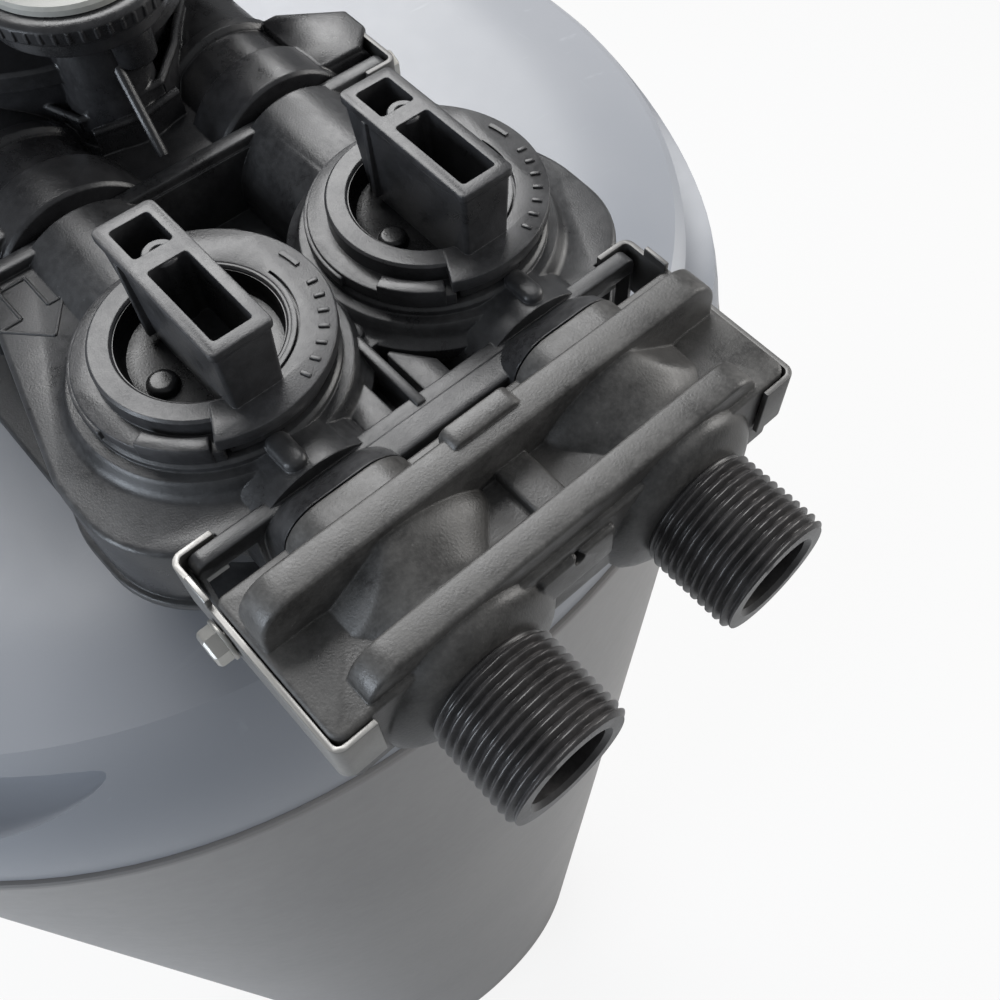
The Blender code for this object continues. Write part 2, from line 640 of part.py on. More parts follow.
def make_overflow():
    """The overflow elbow through the tub's hidden side, and its nut inside."""
    wall = -HALF_WIDTH + wall_inset(OVERFLOW_Z)
    bend = OVERFLOW_RADIUS * 1.6
    start = wall + TANK_WALL + 0.010
    far = wall - OVERFLOW_REACH
    route = [(start, OVERFLOW_Z)]
    for step in range(5):
        angle = math.pi / 2 * step / 4
        route.append((far + bend - bend * math.sin(angle), OVERFLOW_Z - bend + bend * math.cos(angle)))
    route.append((far, OVERFLOW_Z - OVERFLOW_DROP))
    line = bpy.data.curves.new("overflow_route", "CURVE")
    line.dimensions = "3D"
    line.bevel_depth = OVERFLOW_RADIUS
    line.bevel_resolution = 1
    line.use_fill_caps = True
    spline = line.splines.new("POLY")
    spline.points.add(len(route) - 1)
    for point, (x, z) in zip(spline.points, route):
        point.co = (x, WIDEST_Y, z, 1.0)
    elbow = as_mesh("overflow_elbow", line, BLACK)
    flange = cone("overflow_flange", OVERFLOW_FLANGE, OVERFLOW_FLANGE,
                  (wall - 0.0012 - 0.003, WIDEST_Y, OVERFLOW_Z), 0.003, "X", steps=14)
    combine(elbow, [flange], "UNION")
    nut = cone("overflow_nut", OVERFLOW_FLANGE, OVERFLOW_FLANGE,
               (wall + TANK_WALL + 0.0012, WIDEST_Y, OVERFLOW_Z), 0.006, "X", BLACK, steps=6)
    combine(nut, [cone("nut_bore", OVERFLOW_RADIUS + GAP, OVERFLOW_RADIUS + GAP,
                       (wall - 0.01, WIDEST_Y, OVERFLOW_Z), 0.04, "X", steps=16)])


def as_mesh(name, line, finish, parent=None):
    """Turns a curve with filled caps into a welded mesh object."""
    rough = bpy.data.objects.new(f"{name}_curve", line)
    bpy.context.scene.collection.objects.link(rough)
    graph = bpy.context.evaluated_depsgraph_get()
    mesh = bpy.data.meshes.new_from_object(rough.evaluated_get(graph))
    mesh.name = name
    bpy.data.objects.remove(rough, do_unlink=True)
    shape = bmesh.new()
    shape.from_mesh(mesh)
    bmesh.ops.remove_doubles(shape, verts=shape.verts, dist=0.00002)
    shape.to_mesh(mesh)
    shape.free()
    mesh.materials.clear()
    return place(name, mesh, finish, (0, 0, 0), parent)


def flange_plate(name, low, high, finish=None):
    """One plate of a flange joint, across both tubes."""
    return box(name, (-FLANGE_HALF, low, FLANGE_BOTTOM), (FLANGE_HALF, high, FLANGE_TOP), finish, DATUM)


def port_bores(prefix, low, high, radius=BORE):
    """Two cutters along Y, one on each port axis."""
    return [cone(f"{prefix}_{side}", radius, radius, (sign * HALF_SPACING, low, 0), high - low, "Y",
                 parent=DATUM, steps=12) for side, sign in SIDES]


def screw_holes(prefix, half, y):
    """Two cutters for the clip screws, in the sides of a plate."""
    reach = SCREW_LENGTH + 0.002
    return [cone(f"{prefix}_{side}", SCREW_RADIUS + GAP, SCREW_RADIUS + GAP,
                 (sign * half - (reach if sign > 0 else CUT_OVER), y, SCREW_Z), reach + CUT_OVER, "X",
                 parent=DATUM, steps=8) for side, sign in SIDES]


def clip_room(face, joint_name, inward):
    """Two cutters that leave room in the bypass for the clips' returns behind an end plate."""
    back = face + inward * (CLIP_THICK + 4 * GAP)
    tip = FLANGE_HALF - CLIP_RETURN - 2 * GAP
    rooms = []
    for side, sign in SIDES:
        low = (min(sign * tip, sign * BODY_HALF * 1.2), min(face, back), CLIP_BOTTOM - GAP)
        high = (max(sign * tip, sign * BODY_HALF * 1.2), max(face, back), CLIP_TOP + CUT_OVER)
        rooms.append(box(f"clip_room_{joint_name}_{side}", low, high, None, DATUM))
    return rooms


REAR_FLANGE = REAR_JOINT - REAR_FLANGE_GAP
FRONT_FLANGE = FRONT_JOINT + GAP


def make_bypass_body():
    """The bypass casting: skirted plate, two chambers, four tubes, end plates, webs and stop posts."""
    half, rear, front = BODY_HALF, BODY_REAR, FRONT_FLANGE + BYPASS_FLANGE - 0.001
    corners = [(-half + 0.0145, front, 0.006), (half - 0.0145, front, 0.006), (half + 0.0008, 0.002, 0.034),
               (half, rear, 0.026), (-half, rear, 0.026), (-half - 0.0008, 0.002, 0.034)]
    body = outline("bypass_body", corners, BODY_BOTTOM, BODY_TOP, BLACK, DATUM, arc_steps=4)
    skin = BODY_SKIN
    inside = [(-half + 0.0165 + skin, front + skin, 0.003), (half - 0.0165 - skin, front + skin, 0.003),
              (half - skin, 0.002, 0.030), (half - skin, rear - skin, 0.021),
              (-half + skin, rear - skin, 0.021), (-half + skin, 0.002, 0.030)]
    combine(body, [outline("body_hollow", inside, BODY_BOTTOM - CUT_OVER, BODY_TOP - skin, None, DATUM,
                           arc_steps=2)])
    joined = []
    for side, sign in SIDES:
        x = sign * HALF_SPACING
        joined.append(turned(f"chamber_{side}",
                             [(0, CHAMBER_TOP), (COLLAR_RADIUS - 0.003, CHAMBER_TOP),
                              (COLLAR_RADIUS - 0.003, COLLAR_TOP), (CHAMBER_RADIUS, BODY_TOP - 0.004),
                              (CHAMBER_RADIUS, CHAMBER_BOTTOM), (0, CHAMBER_BOTTOM)],
                             None, (x, 0, 0), DATUM, 16))
        joined.append(cone(f"tube_{side}", TUBE_RADIUS, TUBE_RADIUS, (x, FRONT_FLANGE + 0.002, 0),
                           REAR_FLANGE - FRONT_FLANGE - 0.004, "Y", parent=DATUM, steps=12))
        joined.append(cone(f"rear_neck_{side}", TUBE_RADIUS - 0.001, JOINT_RADIUS, (x, REAR_FLANGE - 0.003, 0),
                           REAR_FLANGE_GAP + 0.003, "Y", parent=DATUM, steps=12))
        post_x = sign * (HALF_SPACING + 0.002)
        joined.append(box(f"stop_post_{side}", (post_x - 0.003, 0.026, BODY_TOP - 0.002),
                          (post_x + 0.003, 0.037, BODY_TOP + 0.009), None, DATUM))
    joined.append(flange_plate("rear_plate", REAR_FLANGE - BYPASS_FLANGE, REAR_FLANGE))
    joined.append(flange_plate("front_plate", FRONT_FLANGE, FRONT_FLANGE + BYPASS_FLANGE))
    joined.append(box("middle_web", (0.003, 0.018, BODY_TOP - 0.003),
                      (0.0055, REAR_FLANGE - 0.001, FLANGE_TOP - 0.001), None, DATUM))
    for side, low, high in (("left", 0.009, 0.017), ("right", -0.008, 0.001)):
        joined.append(box(f"web_pad_{side}", (low, 0.022, BODY_TOP - 0.003), (high, REAR_FLANGE - 0.002,
                                                                              BODY_TOP + 0.0015), None, DATUM))
    combine(body, joined, "UNION")
    cuts = port_bores("flow", FRONT_JOINT - 0.01, REAR_JOINT + 0.01)
    cuts += port_bores("rear_socket", REAR_JOINT - COUPLING_DEPTH, REAR_JOINT + 0.01, COUPLING_RADIUS + GAP)
    cuts += port_bores("front_socket", FRONT_JOINT - 0.01, FRONT_FLANGE + COUPLING_DEPTH,
                       COUPLING_RADIUS + GAP)
    cuts += [cone(f"chamber_bore_{side}", CHAMBER_BORE, CHAMBER_BORE, (sign * HALF_SPACING, 0, CHAMBER_FLOOR),
                  0.060, parent=DATUM, steps=16) for side, sign in SIDES]
    cuts += clip_room(REAR_FLANGE - BYPASS_FLANGE, "rear", -1)
    cuts += clip_room(FRONT_FLANGE + BYPASS_FLANGE, "front", 1)
    return combine(body, cuts)


def make_rotor(side, sign):
    """The plug that a knob turns inside its chamber."""
    reach = CHAMBER_BORE - SLIDE_FIT
    rotor = turned(f"bypass_rotor_{side}", [(0, CHAMBER_TOP - GAP), (reach, CHAMBER_TOP - GAP),
                                            (reach, CHAMBER_FLOOR + GAP), (0, CHAMBER_FLOOR + GAP)],
                   WHITE, (sign * HALF_SPACING, 0, 0), DATUM, 16)
    return combine(rotor, [cone(f"rotor_way_{side}", BORE, BORE, (sign * HALF_SPACING, -0.03, 0), 0.06, "Y",
                                parent=DATUM, steps=16)])


def sector(name, inner, outer, start, end, low, high, origin, finish=None):
    """Part of a flat ring between two angles in degrees."""
    steps = 9
    angles = [math.radians(start + (end - start) * step / steps) for step in range(steps + 1)]
    rim = [(outer * math.cos(angle), outer * math.sin(angle), 0) for angle in angles]
    root = [(inner * math.cos(angle), inner * math.sin(angle), 0) for angle in reversed(angles)]
    return outline(name, rim + root, low, high, finish, DATUM, origin)


def make_knob(side, sign):
    """One bypass knob: dished cap, marked flange sector and a hollow lever handle."""
    origin = (sign * HALF_SPACING, 0, 0)
    low = CHAMBER_TOP + GAP
    knob = turned(f"bypass_knob_{side}",
                  [(0, DISH_FLOOR), (DISH_RADIUS - 0.002, DISH_FLOOR), (DISH_RADIUS, CAP_TOP),
                   (CAP_RADIUS - 0.001, CAP_TOP), (CAP_RADIUS, CAP_TOP - 0.001), (CAP_RADIUS, low), (0, low)],
                  BLACK, origin, DATUM, 24)
    flange = sector(f"knob_flange_{side}", DISH_RADIUS + 0.001, FLANGE_RADIUS, 62, 258, CAP_TOP - FLANGE_THICK,
                    CAP_TOP + 0.0002, origin)
    tab = sector(f"knob_tab_{side}", DISH_RADIUS + 0.001, FLANGE_RADIUS - 0.0006, 26, 61, CAP_TOP - FLANGE_THICK - 0.001,
                 CAP_TOP - 0.0025, origin)
    half = HANDLE_WIDTH / 2
    handle = box(f"handle_{side}", (-half, HANDLE_FRONT, DISH_FLOOR - 0.001), (half, HANDLE_REAR, HANDLE_TOP),
                 None, DATUM)
    handle.location = origin
    soften(handle, 0.0008, 1)
    combine(knob, [flange, tab, handle], "UNION")
    inner = half - HANDLE_WALL
    bridge = 0.005
    first_end = HANDLE_FRONT + HANDLE_WALL + 0.0118
    for label, start, end in (("front", HANDLE_FRONT + HANDLE_WALL, first_end),
                              ("rear", first_end + bridge, HANDLE_REAR - HANDLE_WALL)):
        pocket = box(f"pocket_{label}_{side}", (-inner, start, POCKET_FLOOR), (inner, end, HANDLE_TOP + CUT_OVER),
                     None, DATUM)
        pocket.location = origin
        combine(knob, [pocket])
    return knob


def ridge(name, half, top, low_y, thick):
    """An upright rib across the manifold, with rounded shoulders."""
    low = FLANGE_BOTTOM + 0.001
    corners = [(-half, low, 0), (half, low, 0), (half, top, RIDGE_CORNER), (-half, top, RIDGE_CORNER)]
    return stand_up(outline(name, corners, 0, thick, None, DATUM, arc_steps=4), low_y)


def make_manifold():
    """The twin-port manifold: plate, two ridges, swelling tubes and threaded ends."""
    front = REAR_JOINT + GAP
    plan = [(-PLATE_HALF, front, 0.003), (PLATE_HALF, front, 0.003), (PLATE_HALF, PLATE_REAR, 0.005),
            (-PLATE_HALF, PLATE_REAR, 0.005)]
    body = outline("manifold", plan, FLANGE_BOTTOM, PLATE_TOP, BLACK, DATUM, arc_steps=3)
    joined = [ridge("front_ridge", RIDGE_HALF, RIDGE_TOP, RIDGE_FRONT, RIDGE_THICK),
              ridge("back_ridge", BACK_RIDGE_HALF, BACK_RIDGE_TOP, BACK_RIDGE_FRONT, BACK_RIDGE_THICK)]
    sunk = 0.0007
    for side, sign in SIDES:
        profile = [(0, PORT_END), (THREAD_RADIUS - 0.001, PORT_END), (THREAD_RADIUS, PORT_END - 0.001),
                   (THREAD_RADIUS, ROOT_END), (ROOT_RADIUS, PLATE_REAR + sunk), (BULGE_REAR, PLATE_REAR - sunk),
                   (BULGE_REAR, BACK_RIDGE_FRONT + sunk), (BULGE_FRONT, RIDGE_FRONT + RIDGE_THICK - sunk),
                   (BULGE_FRONT, RIDGE_FRONT + sunk), (JOINT_RADIUS, front + sunk), (0, front + sunk)]
        tube = turned(f"port_tube_{side}", profile, None, (sign * HALF_SPACING, 0, 0), DATUM, 16)
        tube.rotation_euler = (-math.pi / 2, 0, 0)
        joined.append(tube)
    joined.append(box("middle_lug", (-0.004, RIDGE_FRONT + 0.004, PLATE_TOP - 0.002),
                      (0.005, BACK_RIDGE_FRONT + 0.002, PLATE_TOP + 0.003), None, DATUM))
    combine(body, joined, "UNION")
    cuts = port_bores("port_bore", front - 0.01, PORT_END + 0.01)
    cuts += port_bores("manifold_socket", front - 0.01, front + COUPLING_DEPTH, COUPLING_RADIUS + GAP)
    cuts += screw_holes("rear_screw_hole", PLATE_HALF, REAR_JOINT + SCREW_INSET)
    return combine(body, cuts)


def make_coupling(joint, joint_name, side, sign):
    """The sealed sleeve that bridges a flange joint in one tube."""
    half = COUPLING_DEPTH - GAP
    sleeve = cone(f"coupling_{joint_name}_{side}", COUPLING_RADIUS, COUPLING_RADIUS,
                  (sign * HALF_SPACING, joint - half + GAP / 2, 0), 2 * half, "Y", DARK, DATUM, 12)
    return combine(sleeve, [cone(f"coupling_bore_{joint_name}_{side}", BORE, BORE,
                                 (sign * HALF_SPACING, joint - 0.02, 0), 0.04, "Y", parent=DATUM, steps=12)])


def make_clip(name, sign, half, low, high, screw_y):
    """A stamped C clip along Y that hugs two joined plates, and the screw that holds it."""
    inner = half + GAP
    outer = inner + CLIP_THICK
    tip = inner - CLIP_RETURN
    corners = [(outer, low, CLIP_CORNER), (outer, high, CLIP_CORNER), (tip, high, 0), (tip, high - CLIP_THICK, 0),
               (inner, high - CLIP_THICK, 0), (inner, low + CLIP_THICK, 0), (tip, low + CLIP_THICK, 0),
               (tip, low, 0)]
    clip = outline(name, [(sign * x, y, radius) for x, y, radius in corners], CLIP_BOTTOM, CLIP_TOP, STEEL,
                   DATUM, arc_steps=3)
    combine(clip, [cone(f"{name}_hole", SCREW_RADIUS + GAP, SCREW_RADIUS + GAP,
                        (sign * outer - 0.005, screw_y, SCREW_Z), 0.010, "X", parent=DATUM, steps=8)])
    face = sign * (outer + GAP)
    reach = face - sign * (SCREW_LENGTH + 0.001)
    screw = cone(name.replace("clip", "clip_screw"), SCREW_HEAD, SCREW_HEAD,
                 (min(face, face + sign * SCREW_HEAD_HEIGHT), screw_y, SCREW_Z), SCREW_HEAD_HEIGHT, "X", STEEL,
                 DATUM, 6)
    sunk = face + sign * 0.001
    shank = cone(f"{name}_shank", SCREW_RADIUS, SCREW_RADIUS, (min(reach, sunk), screw_y, SCREW_Z),
                 abs(sunk - reach), "X", parent=DATUM, steps=8)
    return combine(screw, [shank], "UNION")


VALVE_PLATE_FRONT = FRONT_JOINT - EAR_DEPTH


def make_valve_body():
    """The valve casting: barrel on the vessel's neck, two outlet tubes, end plate, drum and side bosses."""
    centre = (0, VALVE_Y, 0)
    low = -0.045
    body = turned("valve_body", [(0, BARREL_TOP), (BARREL_RADIUS + 0.004, BARREL_TOP),
                                 (BARREL_RADIUS + 0.004, BARREL_TOP - 0.006), (BARREL_RADIUS, BARREL_TOP - 0.008),
                                 (BARREL_RADIUS, -0.026), (COLLAR_NECK, -0.030), (COLLAR_NECK, low), (0, low)],
                  BLACK, centre, DATUM, 20)
    joined = []
    for side, sign in SIDES:
        outer, inner = sign * FLANGE_HALF, sign * (FLANGE_HALF - EAR_WIDTH)
        joined.append(box(f"valve_ear_{side}", (min(outer, inner), VALVE_PLATE_FRONT, FLANGE_BOTTOM),
                          (max(outer, inner), FRONT_JOINT, FLANGE_TOP), None, DATUM))
        joined.append(cone(f"valve_tube_{side}", TUBE_RADIUS, TUBE_RADIUS,
                           (sign * HALF_SPACING, VALVE_Y + 0.003, 0),
                           VALVE_PLATE_FRONT - VALVE_Y + 0.001, "Y", parent=DATUM, steps=12))
        joined.append(cone(f"valve_collar_{side}", TUBE_RADIUS - 0.001, JOINT_RADIUS,
                           (sign * HALF_SPACING, VALVE_PLATE_FRONT + 0.002, 0), EAR_DEPTH - 0.0025, "Y",
                           parent=DATUM, steps=12))
    joined.append(cone("drum", DRUM_RADIUS, DRUM_RADIUS - 0.001, (0, DRUM_Y, -0.012), DRUM_TOP + 0.012,
                       parent=DATUM, steps=16))
    joined.append(cone("drain_boss", 0.015, 0.013, (0.030, VALVE_Y - 0.012, 0.006), 0.032, "X", parent=DATUM,
                       steps=14))
    joined.append(cone("injector_boss", 0.013, 0.015, (-0.058, VALVE_Y - 0.012, 0.006), 0.030, "X",
                       parent=DATUM, steps=14))
    combine(body, joined, "UNION")
    cuts = [cone(f"valve_way_{side}", BORE, BORE, (sign * HALF_SPACING, VALVE_Y + 0.006, 0),
                 FRONT_JOINT - VALVE_Y + 0.004, "Y", parent=DATUM, steps=12) for side, sign in SIDES]
    cuts += [cone(f"valve_socket_{side}", COUPLING_RADIUS + GAP, COUPLING_RADIUS + GAP,
                  (sign * HALF_SPACING, FRONT_JOINT - COUPLING_DEPTH, 0), COUPLING_DEPTH + 0.01, "Y",
                  parent=DATUM, steps=12) for side, sign in SIDES]
    cuts += screw_holes("front_screw_hole", FLANGE_HALF, FRONT_JOINT - SCREW_INSET)
    cuts.append(cone("riser_bore", RISER_RADIUS + 0.006, RISER_RADIUS + 0.006, (0, VALVE_Y, low - 0.01), 0.030,
                     parent=DATUM, steps=20))
    return combine(body, cuts)


def make_drum_cap():
    """The grey cap over the drum behind the control head."""
    low = DRUM_TOP + GAP
    high = low + DRUM_CAP_HEIGHT
    turned("drum_cap", [(0, high), (DRUM_CAP_RADIUS - 0.002, high), (DRUM_CAP_RADIUS, high - 0.002),
                        (DRUM_CAP_RADIUS, low), (0, low)], DARK, (0, DRUM_Y, 0), DATUM, 20)


def make_side_fittings():
    """The drain elbow and the injector cap on the barrel's sides."""
    y = VALVE_Y - 0.012
    start = 0.062 + GAP
    elbow = cone("drain_elbow", 0.011, 0.011, (start, y, 0.006), 0.010, "X", DARK, DATUM, 14)
    stem = cone("drain_stem", ELBOW_RADIUS, ELBOW_RADIUS, (start + 0.008, y, 0.006), 0.014, "X", parent=DATUM,
                steps=12)
    spout = cone("drain_spout", ELBOW_RADIUS, ELBOW_RADIUS, (start + 0.021, y, -0.020), 0.032, parent=DATUM,
                 steps=12)
    combine(elbow, [stem, spout], "UNION")
    cone("injector_cap", 0.0165, 0.0165, (-0.058 - GAP - 0.008, y, 0.006), 0.008, "X", DARK, DATUM, 8)


def make_head():
    """The control head: open-bottomed housing with its window, buttons and power inlet."""
    low = BARREL_TOP + GAP
    housing = outline("control_housing",
                      [(-HEAD_HALF, HEAD_FRONT, 0.012), (HEAD_HALF, HEAD_FRONT, 0.012),
                       (HEAD_HALF, HEAD_REAR, 0.012), (-HEAD_HALF, HEAD_REAR, 0.012)],
                      low, HEAD_TOP, DARK, DATUM, arc_steps=2)
    hollow = box("housing_hollow", (-HEAD_HALF + HEAD_WALL, HEAD_FRONT + PANEL_WALL, low - CUT_OVER),
                 (HEAD_HALF - HEAD_WALL, HEAD_REAR - HEAD_WALL, HEAD_TOP - HEAD_WALL), None, DATUM)
    seat = box("window_seat", (-WINDOW_WIDTH / 2 - GAP, HEAD_FRONT - CUT_OVER, WINDOW_Z - WINDOW_HEIGHT / 2 - GAP),
               (WINDOW_WIDTH / 2 + GAP, HEAD_FRONT + WINDOW_DEPTH + GAP, WINDOW_Z + WINDOW_HEIGHT / 2 + GAP),
               None, DATUM)
    cuts = [hollow, seat]
    for at, name in enumerate(BUTTON_NAMES):
        x = (at - (len(BUTTON_NAMES) - 1) / 2) * BUTTON_PITCH
        cuts.append(cone(f"{name}_pocket", BUTTON_RADIUS + SLIDE_FIT, BUTTON_RADIUS + SLIDE_FIT,
                         (x, HEAD_FRONT - CUT_OVER, BUTTON_Z), BUTTON_POCKET + CUT_OVER, "Y", parent=DATUM,
                         steps=12))
        button = cone(name, BUTTON_RADIUS - 0.0008, BUTTON_RADIUS, (x, HEAD_FRONT - BUTTON_PROUD, BUTTON_Z),
                      BUTTON_DEPTH, "Y", WHITE, DATUM, 12)
        button.data.shade_smooth()
        button.data.set_sharp_from_angle(angle=math.radians(35))
    inlet_x = -HEAD_HALF + 0.020
    cuts.append(cone("inlet_hole", 0.0045 + GAP, 0.0045 + GAP, (inlet_x, HEAD_REAR - 0.006, 0.048), 0.010, "Y",
                     parent=DATUM, steps=12))
    combine(housing, cuts)
    box("display_window", (-WINDOW_WIDTH / 2, HEAD_FRONT - 0.0002, WINDOW_Z - WINDOW_HEIGHT / 2),
        (WINDOW_WIDTH / 2, HEAD_FRONT + WINDOW_DEPTH, WINDOW_Z + WINDOW_HEIGHT / 2), CLEAR, DATUM)
    inlet = turned("power_inlet", [(0, 0.002), (0.007, 0.002), (0.007, 0.0), (0.0045, 0.0), (0.0045, -0.006),
                                   (0, -0.006)], BLACK, (inlet_x, HEAD_REAR + GAP, 0.048), DATUM, 12)
    inlet.rotation_euler = (-math.pi / 2, 0, 0)
    socket = cone("inlet_socket", 0.0028, 0.0028, (inlet_x, HEAD_REAR - 0.004, 0.048), 0.010, "Y", parent=DATUM,
                  steps=12)
    combine(inlet, [socket])


def make_deck_plate():
    """The raised black plate that the valve group stands over."""
    half = DECK_PLATE_HALF
    corners = [(-half, DECK_PLATE_FRONT, DECK_PLATE_CORNER), (half, DECK_PLATE_FRONT, DECK_PLATE_CORNER),
               (half, DECK_PLATE_REAR, DECK_PLATE_CORNER), (-half, DECK_PLATE_REAR, DECK_PLATE_CORNER)]
    low = -PORT_HEIGHT + GAP
    plate = outline("deck_plate", corners, low, low + DECK_PLATE_THICK, BLACK, DATUM)
    hole = cone("plate_hole", COLLAR_NECK + 0.001, COLLAR_NECK + 0.001, (0, VALVE_Y, low - 0.01), 0.02,
                parent=DATUM, steps=24)
    return combine(plate, [hole])


make_tub()
make_cover()
make_lid()
mirrored(make_hinge_pin)
make_vessel()
make_brine_well()
make_overflow()
make_deck_plate()
make_valve_body()
make_drum_cap()
make_side_fittings()
make_head()
make_bypass_body()
mirrored(make_rotor)
mirrored(make_knob)
make_manifold()
for side_name, side_sign in SIDES:
    make_coupling(REAR_JOINT, "rear", side_name, side_sign)
    make_coupling(FRONT_JOINT, "front", side_name, side_sign)
    make_clip(f"clip_rear_{side_name}", side_sign, PLATE_HALF,
              REAR_FLANGE - BYPASS_FLANGE - GAP - CLIP_THICK, PLATE_REAR + GAP + CLIP_THICK,
              REAR_JOINT + SCREW_INSET)
    make_clip(f"clip_front_{side_name}", side_sign, FLANGE_HALF, VALVE_PLATE_FRONT - GAP - CLIP_THICK,
              FRONT_FLANGE + BYPASS_FLANGE + GAP + CLIP_THICK, FRONT_JOINT - SCREW_INSET)
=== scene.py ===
"""Looks of a cabinet water softener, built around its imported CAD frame.

The photograph looks down on the bypass valve and the twin-port manifold from behind. Every piece is
modelled in millimetres about its own group's datum, and settle() puts it in the frame in metres.
"""
import logging
import math
from collections.abc import Iterable, Iterator, Sequence
from contextlib import contextmanager
from dataclasses import dataclass, field
from enum import Enum

import bmesh
import bpy
from mathutils import Euler, Matrix, Vector

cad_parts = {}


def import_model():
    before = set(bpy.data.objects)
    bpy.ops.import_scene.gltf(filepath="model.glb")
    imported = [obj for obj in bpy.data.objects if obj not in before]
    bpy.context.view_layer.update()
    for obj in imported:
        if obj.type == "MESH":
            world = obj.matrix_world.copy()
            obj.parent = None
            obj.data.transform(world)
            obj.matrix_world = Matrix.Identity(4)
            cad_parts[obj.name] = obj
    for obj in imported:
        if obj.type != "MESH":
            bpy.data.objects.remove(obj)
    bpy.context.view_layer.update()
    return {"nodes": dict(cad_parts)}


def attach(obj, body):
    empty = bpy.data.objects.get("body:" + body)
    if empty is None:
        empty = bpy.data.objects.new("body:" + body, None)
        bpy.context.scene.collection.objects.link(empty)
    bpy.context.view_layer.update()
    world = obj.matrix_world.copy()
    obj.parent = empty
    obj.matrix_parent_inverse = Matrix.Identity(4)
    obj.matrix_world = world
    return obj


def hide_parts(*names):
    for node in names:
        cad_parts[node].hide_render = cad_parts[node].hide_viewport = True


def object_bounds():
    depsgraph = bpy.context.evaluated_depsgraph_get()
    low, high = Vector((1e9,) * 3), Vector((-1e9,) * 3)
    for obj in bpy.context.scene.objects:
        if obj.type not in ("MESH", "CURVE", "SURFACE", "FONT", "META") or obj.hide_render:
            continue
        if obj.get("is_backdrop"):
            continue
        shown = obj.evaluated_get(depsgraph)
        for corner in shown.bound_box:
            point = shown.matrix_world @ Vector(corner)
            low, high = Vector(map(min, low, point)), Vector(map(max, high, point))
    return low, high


LOG = logging.getLogger("water_softener")
MM = 0.001
SIDES = (("left", 1), ("right", -1))
VALVE_DATUM = Vector((0.0, 0.155, 1.160))
BASE_DATUM = Vector((0.0, 0.0, 0.0))
HALF_SPACING = 32.3
WAY_RADIUS = 10.65
SOCKET_RADIUS = 14.8
SCREW_HOLE = 2.1
SCREW_Z = 8.2

Point = tuple[float, ...]
Piece = bpy.types.Object


class Axis(Enum):
    """The axis that a turned piece stands along."""

    X = (0.0, math.pi / 2, 0.0)
    Y = (-math.pi / 2, 0.0, 0.0)
    Z = (0.0, 0.0, 0.0)


class Side(Enum):
    """What a Boolean does with its tools."""

    ADD = "UNION"
    CUT = "DIFFERENCE"


# Modelling by hand, as functions


def clear_selection() -> None:
    """Goes to object mode with nothing selected."""
    active = bpy.context.view_layer.objects.active
    if active is not None and active.mode != "OBJECT":
        bpy.ops.object.mode_set(mode="OBJECT")
    bpy.ops.object.select_all(action="DESELECT")


def choose(*things: Piece) -> None:
    """Selects only these objects, the first one active.

    Args:
        things: the objects.
    """
    clear_selection()
    for thing in things:
        thing.select_set(True)
    bpy.context.view_layer.objects.active = things[0]


@contextmanager
def editing(thing: Piece) -> Iterator[bmesh.types.BMesh]:
    """Edit mode on one object, in vertex, edge and face select mode.

    Args:
        thing: the object.

    Yields:
        The mesh under edit.
    """
    choose(thing)
    bpy.ops.object.mode_set(mode="EDIT")
    bpy.ops.mesh.select_mode(type="VERT")
    yield bmesh.from_edit_mesh(thing.data)
    bpy.ops.object.mode_set(mode="OBJECT")


def named(name: str) -> Piece:
    """Names the object that a primitive operator has just made.

    Args:
        name: the piece's name.

    Returns:
        The object.
    """
    thing = bpy.context.view_layer.objects.active
    thing.name = thing.data.name = name
    return thing


def freeze(thing: Piece) -> Piece:
    """Puts an object's place, turn and scale into its mesh.

    Args:
        thing: the object.

    Returns:
        The same object.
    """
    choose(thing)
    bpy.ops.object.transform_apply(location=True, rotation=True, scale=True)
    return thing


def fair(thing: Piece, merge: float = 1e-4) -> Piece:
    """Merges doubles and turns every face outwards.

    Args:
        thing: the object.
        merge: the merging distance in millimetres.

    Returns:
        The same object.
    """
    with editing(thing):
        bpy.ops.mesh.select_all(action="SELECT")
        bpy.ops.mesh.remove_doubles(threshold=merge)
        bpy.ops.mesh.normals_make_consistent(inside=False)
    return thing


def block(name: str, low: Point, high: Point) -> Piece:
    """A box between two corners.

    Args:
        name: the piece's name.
        low: its lowest corner.
        high: its highest corner.

    Returns:
        The object.
    """
    clear_selection()
    middle = [(a + b) / 2 for a, b in zip(low, high)]
    bpy.ops.mesh.primitive_cube_add(size=1, location=middle, scale=[b - a for a, b in zip(low, high)])
    return freeze(named(name))


def ring_start(name: str, points: Sequence[Point], fill: str) -> Piece:
    """A circle primitive whose vertices are moved to the given points.

    Args:
        name: the piece's name.
        points: where the vertices go, in order.
        fill: NGON or NOTHING.

    Returns:
        The object.
    """
    clear_selection()
    bpy.ops.mesh.primitive_circle_add(vertices=len(points), radius=1, fill_type=fill)
    thing = named(name)
    for vertex, point in zip(thing.data.vertices, points):
        vertex.co = point
    return thing


def rounded(corners: Sequence[Point], steps: int) -> list[tuple[float, float]]:
    """A plan with its corners rounded.

    Args:
        corners: x, y and radius of each corner, in order.
        steps: the segments of each arc.

    Returns:
        The plan's points.
    """
    points = []
    count = len(corners)
    for at, (x, y, radius) in enumerate(corners):
        here = Vector((x, y))
        before = (Vector(corners[at - 1][:2]) - here).normalized()
        after = (Vector(corners[(at + 1) % count][:2]) - here).normalized()
        if radius <= 0:
            points.append(tuple(here))
            continue
        half = before.angle(after) / 2
        centre = here + (before + after).normalized() * radius / math.sin(half)
        start = here + before * radius / math.tan(half) - centre
        turn = math.pi - 2 * half
        if start.x * before.y - start.y * before.x > 0:
            turn = -turn
        for step in range(steps + 1):
            spot = Matrix.Rotation(turn * step / steps, 2) @ start
            points.append((centre.x + spot.x, centre.y + spot.y))
    return points


